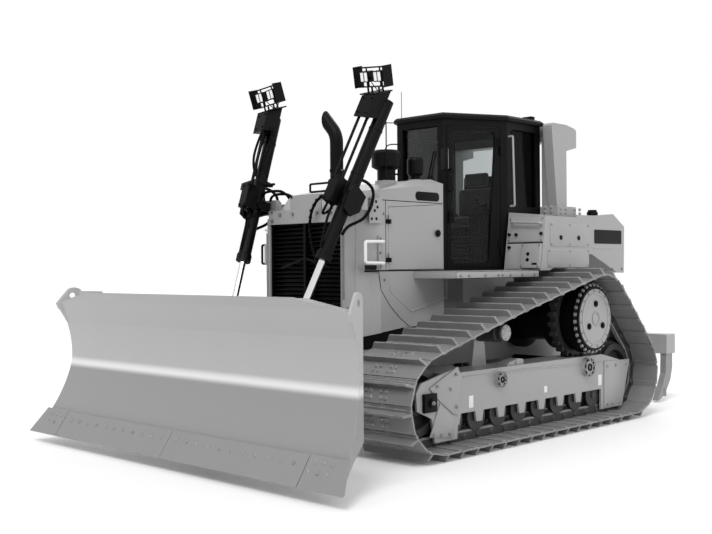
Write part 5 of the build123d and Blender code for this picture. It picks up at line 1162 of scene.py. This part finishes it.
def platform(side, word):
    """Diamond tread, the light lip along the outer edge and its bolts."""
    studs = []
    for i in range(24):
        for j in range(8):
            at = (-0.380 + i * STUD_GAP, side * (0.655 + j * STUD_GAP), 1.572)
            studs.append((at, UP, (1, 0.7 if (i + j) % 2 else -0.7, 0)))

    def lip(bm):
        side_block(bm, side, (0.8815, 0.886), (0.602, 1.100), (1.508, 1.568))
        side_block(bm, side, (-0.436, 0.878), (1.0995, 1.104), (1.510, 1.566))

    shape("platform_plate_" + word,
          lambda bm: side_block(bm, side, (-0.430, 0.876), (0.640, 1.098), (1.5695, 1.5725)))
    repeat("platform_tread_" + word, STUD, studs, "panel", size=0.040)
    shape("platform_lip_" + word, lip, bevel=0.002)
    heads = [(x, 1.104, 1.530) for x in (0.820, 0.697, 0.447, 0.245, 0.176, 0.048, -0.150, -0.360)]
    side_bolts("platform_bolts_" + word, side, heads, 0.018)


def posts(side, word):
    """Bolts on the front and on the outer side of a roof post's foot."""
    front = [(-1.152, side * y, z) for y in (0.713, 0.793) for z in (2.245, 2.199)]
    post_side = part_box("rops")[1][1]
    outer = [(x, post_side, z) for x in (-1.580, -1.480, -1.310, -1.210) for z in (2.180, 2.225)]
    bolts("post_bolts_" + word, facing(front, FORWARD, LEFT), 0.026, "panel")
    side_bolts("post_side_bolts_" + word, side, outer, 0.026, "panel")


# ---------------------------------------------------------------- blade
EDGE_LOW = Vector((3.335, 0, 0.099))
EDGE_HIGH = Vector((3.192, 0, 0.307))
EDGE_OUT = Vector((0.824, 0, 0.5665))


def on_edge(y, z):
    """A point on the cutting edge's face."""
    share = (z - EDGE_LOW.z) / (EDGE_HIGH.z - EDGE_LOW.z)
    return EDGE_LOW.lerp(EDGE_HIGH, share) + LEFT * y


def plough_bolt(bm):
    drum(bm, (0, 0, -0.2), (0, 0, 0.10), 0.5, 20)
    drum(bm, (0, 0, 0.09), (0, 0, 0.14), 0.30, 4)


def blade():
    """Plough bolts along the cutting edge and its corners."""
    heads = []
    for side in (1, -1):
        for z, row in ((0.270, (1.700, 1.782, 1.868)), (0.205, (1.663, 1.759, 1.856))):
            heads += [on_edge(side * y, z) for y in row]
        heads += [on_edge(side * (0.095 + 0.140 * k), 0.240) for k in range(11)]
    bolt = template("plough_bolt", plough_bolt)
    repeat("edge_bolts", bolt, facing(heads, EDGE_OUT, LEFT), "track", size=0.034, body="blade")


def tilt_hoses():
    """Two hoses across the blade's back to the tilt cylinder."""
    low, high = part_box("tilt_barrel")
    for k, rise in ((0, 0.030), (1, 0.058)):
        line = [(0.030, 0, -0.006), (0.030, 0, rise), (0.020, -0.100, rise + 0.014), (0.010, -0.260, rise),
                (0.030, -0.360, -0.006)]
        start = Vector((low[0] + 0.030 * k, high[1] - 0.030, high[2]))
        tube(f"tilt_hose_{k}", [start + Vector(p) for p in line], 0.009, "rubber", "blade")


# ---------------------------------------------------------------- ripper
def ripper():
    """Wear plates on the shanks, and the beam's bolts."""
    wear = [((-3.130, min(near, far), 0.060), (-3.060, max(near, far), 0.160))
            for y in (-1.050, 0.0, 1.050) for near, far in ((y + 0.036, y + 0.041), (y - 0.036, y - 0.041))]
    heads = [(-2.985, y, z) for y in (-0.700, -0.500, 0.500, 0.700) for z in (0.560, 0.720)]
    blocks("shank_wear_plates", wear, "track", 0.002, "ripper_beam")
    bolts("ripper_bolts", facing(heads, FORWARD, LEFT), 0.026, body="ripper_beam")


# ---------------------------------------------------------------- seat
def cushion(name, low, high):
    """A crowned cushion: fullest in its middle, pulled in at its corners, with a seam round its waist and
    two sewn channels across it."""
    middle = (Vector(low) + Vector(high)) / 2
    half = (Vector(high) - Vector(low)) / 2
    bm = bmesh.new()
    bmesh.ops.create_cube(bm, size=2)
    bmesh.ops.subdivide_edges(bm, edges=bm.edges, cuts=15, use_grid_fill=True)
    thin = min(range(3), key=lambda k: half[k])
    wide = [k for k in range(3) if k != thin]
    for v in bm.verts:
        p = list(v.co)
        a, b, c = p[wide[0]], p[wide[1]], p[thin]
        swell = (1 - a ** 4) * (1 - b ** 4)
        corner = (abs(a) * abs(b)) ** 6
        seam = 1 + 0.020 * max(0, 1 - abs(c) * 12)
        for k, other in ((wide[0], b), (wide[1], a)):
            p[k] *= (1 - 0.045 * c ** 2 - 0.055 * corner - 0.010 * (1 - other ** 2)) * seam
        channel = 0.035 * max(0, 1 - abs(abs(b) - 0.45) * 14) * swell
        p[thin] *= (0.62 + 0.38 * swell ** 0.6) * (1 - channel)
        v.co = [middle[k] + half[k] * min(1, max(-1, p[k])) for k in range(3)]
    made = piece(name, mesh_of(bm, name), "cloth", "tractor")
    soft = made.modifiers.new("soft", "SUBSURF")
    soft.levels = 1
    soft.render_levels = 1
    return made


def operator_seat():
    """Suspension base, pan, and the padded cushions that stand for the CAD's plain seat."""
    made = [cushion("seat_cushion", (-0.880, -0.240, 2.020), (-0.380, 0.240, 2.150)),
            cushion("back_cushion", (-0.945, -0.230, 2.130), (-0.830, 0.230, 2.470)),
            cushion("head_cushion", (-0.935, -0.150, 2.490), (-0.850, 0.150, 2.640))]
    boxes = [((-0.830, -0.170, 1.610), (-0.500, 0.170, 1.660)),
             ((-0.870, -0.215, 1.930), (-0.410, 0.215, 2.035)),
             ((-0.944, -0.190, 2.000), (-0.905, 0.190, 2.600))]
    for k in range(6):
        grow = 0.012 if k % 2 else 0.0
        z = 1.660 + 0.045 * k
        boxes.append(((-0.800 - grow, -0.150 - grow, z), (-0.530 + grow, 0.150 + grow, z + 0.045)))
    made.append(blocks("seat_base", boxes, "plastic", 0.010))
    for one in made:
        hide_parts("seat")


# ---------------------------------------------------------------- hydraulic hoses at the nose
NOSE_HOSES = (                      # name and line
    ("right_outer", [(1.700, -0.219, 2.262), (1.730, -0.250, 2.330), (1.745, -0.394, 2.340),
                     (1.740, -0.520, 2.335), (1.690, -0.600, 2.300), (1.640, -0.640, 2.262)]),
    ("right_inner", [(1.690, -0.180, 2.262), (1.710, -0.200, 2.300), (1.720, -0.340, 2.310),
                     (1.700, -0.470, 2.300), (1.650, -0.540, 2.262)]),
)
SUPPLY_HOSES = (                    # name, radius and line in the right cylinder's axes
    ("outer", 0.012, [(-0.060, 0.115, -0.800), (-0.030, 0.100, -0.700), (-0.004, 0.094, -0.610),
                      (0.008, 0.094, -0.430), (-0.050, 0.105, -0.260), (-0.190, 0.105, -0.120),
                      (-0.330, 0.100, -0.095)]),
    ("front", 0.012, [(-0.110, 0.190, -0.720), (-0.064, 0.204, -0.500), (-0.100, 0.196, -0.300),
                      (-0.160, 0.160, -0.180), (-0.260, 0.120, -0.110), (-0.370, 0.110, -0.100)]),
    ("inner", 0.012, [(-0.110, 0.080, -0.800), (-0.130, 0.085, -0.600), (-0.110, 0.100, -0.420),
                      (-0.150, 0.110, -0.250), (-0.240, 0.110, -0.150), (-0.300, 0.110, -0.120)]),
    ("cable", 0.005, [(-0.115, 0.120, -0.790), (-0.220, 0.110, -0.680), (-0.230, 0.110, -0.500),
                      (-0.170, 0.120, -0.330), (-0.200, 0.110, -0.200), (-0.280, 0.110, -0.110)]),
)


def nose_hoses():
    """The hose with its spiral guard over the front, two short ones, and the right cylinder's supply."""
    main = [(1.700, 0.420, 2.262), (1.760, 0.400, 2.285), (1.790, 0.263, 2.240), (1.785, 0.165, 2.130),
            (1.760, 0.113, 1.986), (1.750, 0.129, 1.835), (1.755, 0.188, 1.699), (1.755, 0.213, 1.550),
            (1.750, 0.179, 1.431), (1.745, 0.145, 1.340), (1.715, 0.140, 1.260)]
    tube("nose_hose", main, 0.013)
    coils = []
    for start, end in zip(main[1:-2], main[2:-1]):
        run = Vector(end) - Vector(start)
        coils += [(Vector(start) + run * (k / 5), run, LEFT + UP * 0.01) for k in range(5)]
    coil = template("hose_coil", lambda bm: drum(bm, (0, 0, -0.35), (0, 0, 0.35), 1.0, 14))
    repeat("nose_hose_spiral", coil, coils[::2], "plastic", size=0.0175, smooth=True)
    for name, line in NOSE_HOSES:
        tube("nose_hose_" + name, line, 0.013)
    at = lift_matrix(-1)
    body = "lift_barrel_right"
    for name, radius, line in SUPPLY_HOSES:
        tube("right_supply_" + name, carried(line, at), radius, "rubber", body)
    plate = [((0.060, 0.030, -0.300), (0.260, 0.038, -0.225))]
    blocks("right_cylinder_plate", plate, "black", 0.002, body, at)


# ---------------------------------------------------------------- everything, in order
scene.view_settings.view_transform = "Standard"
studio()
camera()
finish_nodes()
for draw in (track, drive, roller_frame):
    both(draw)
nose()
chimney()
cab_front()
both(lever)
tank_top()
blade()
tilt_hoses()
ripper()
operator_seat()
nose_hoses()
for draw in (hood_side, nose_panel, lamps, lift_trim, cab_door, cab, side_box, platform, posts):
    both(draw)
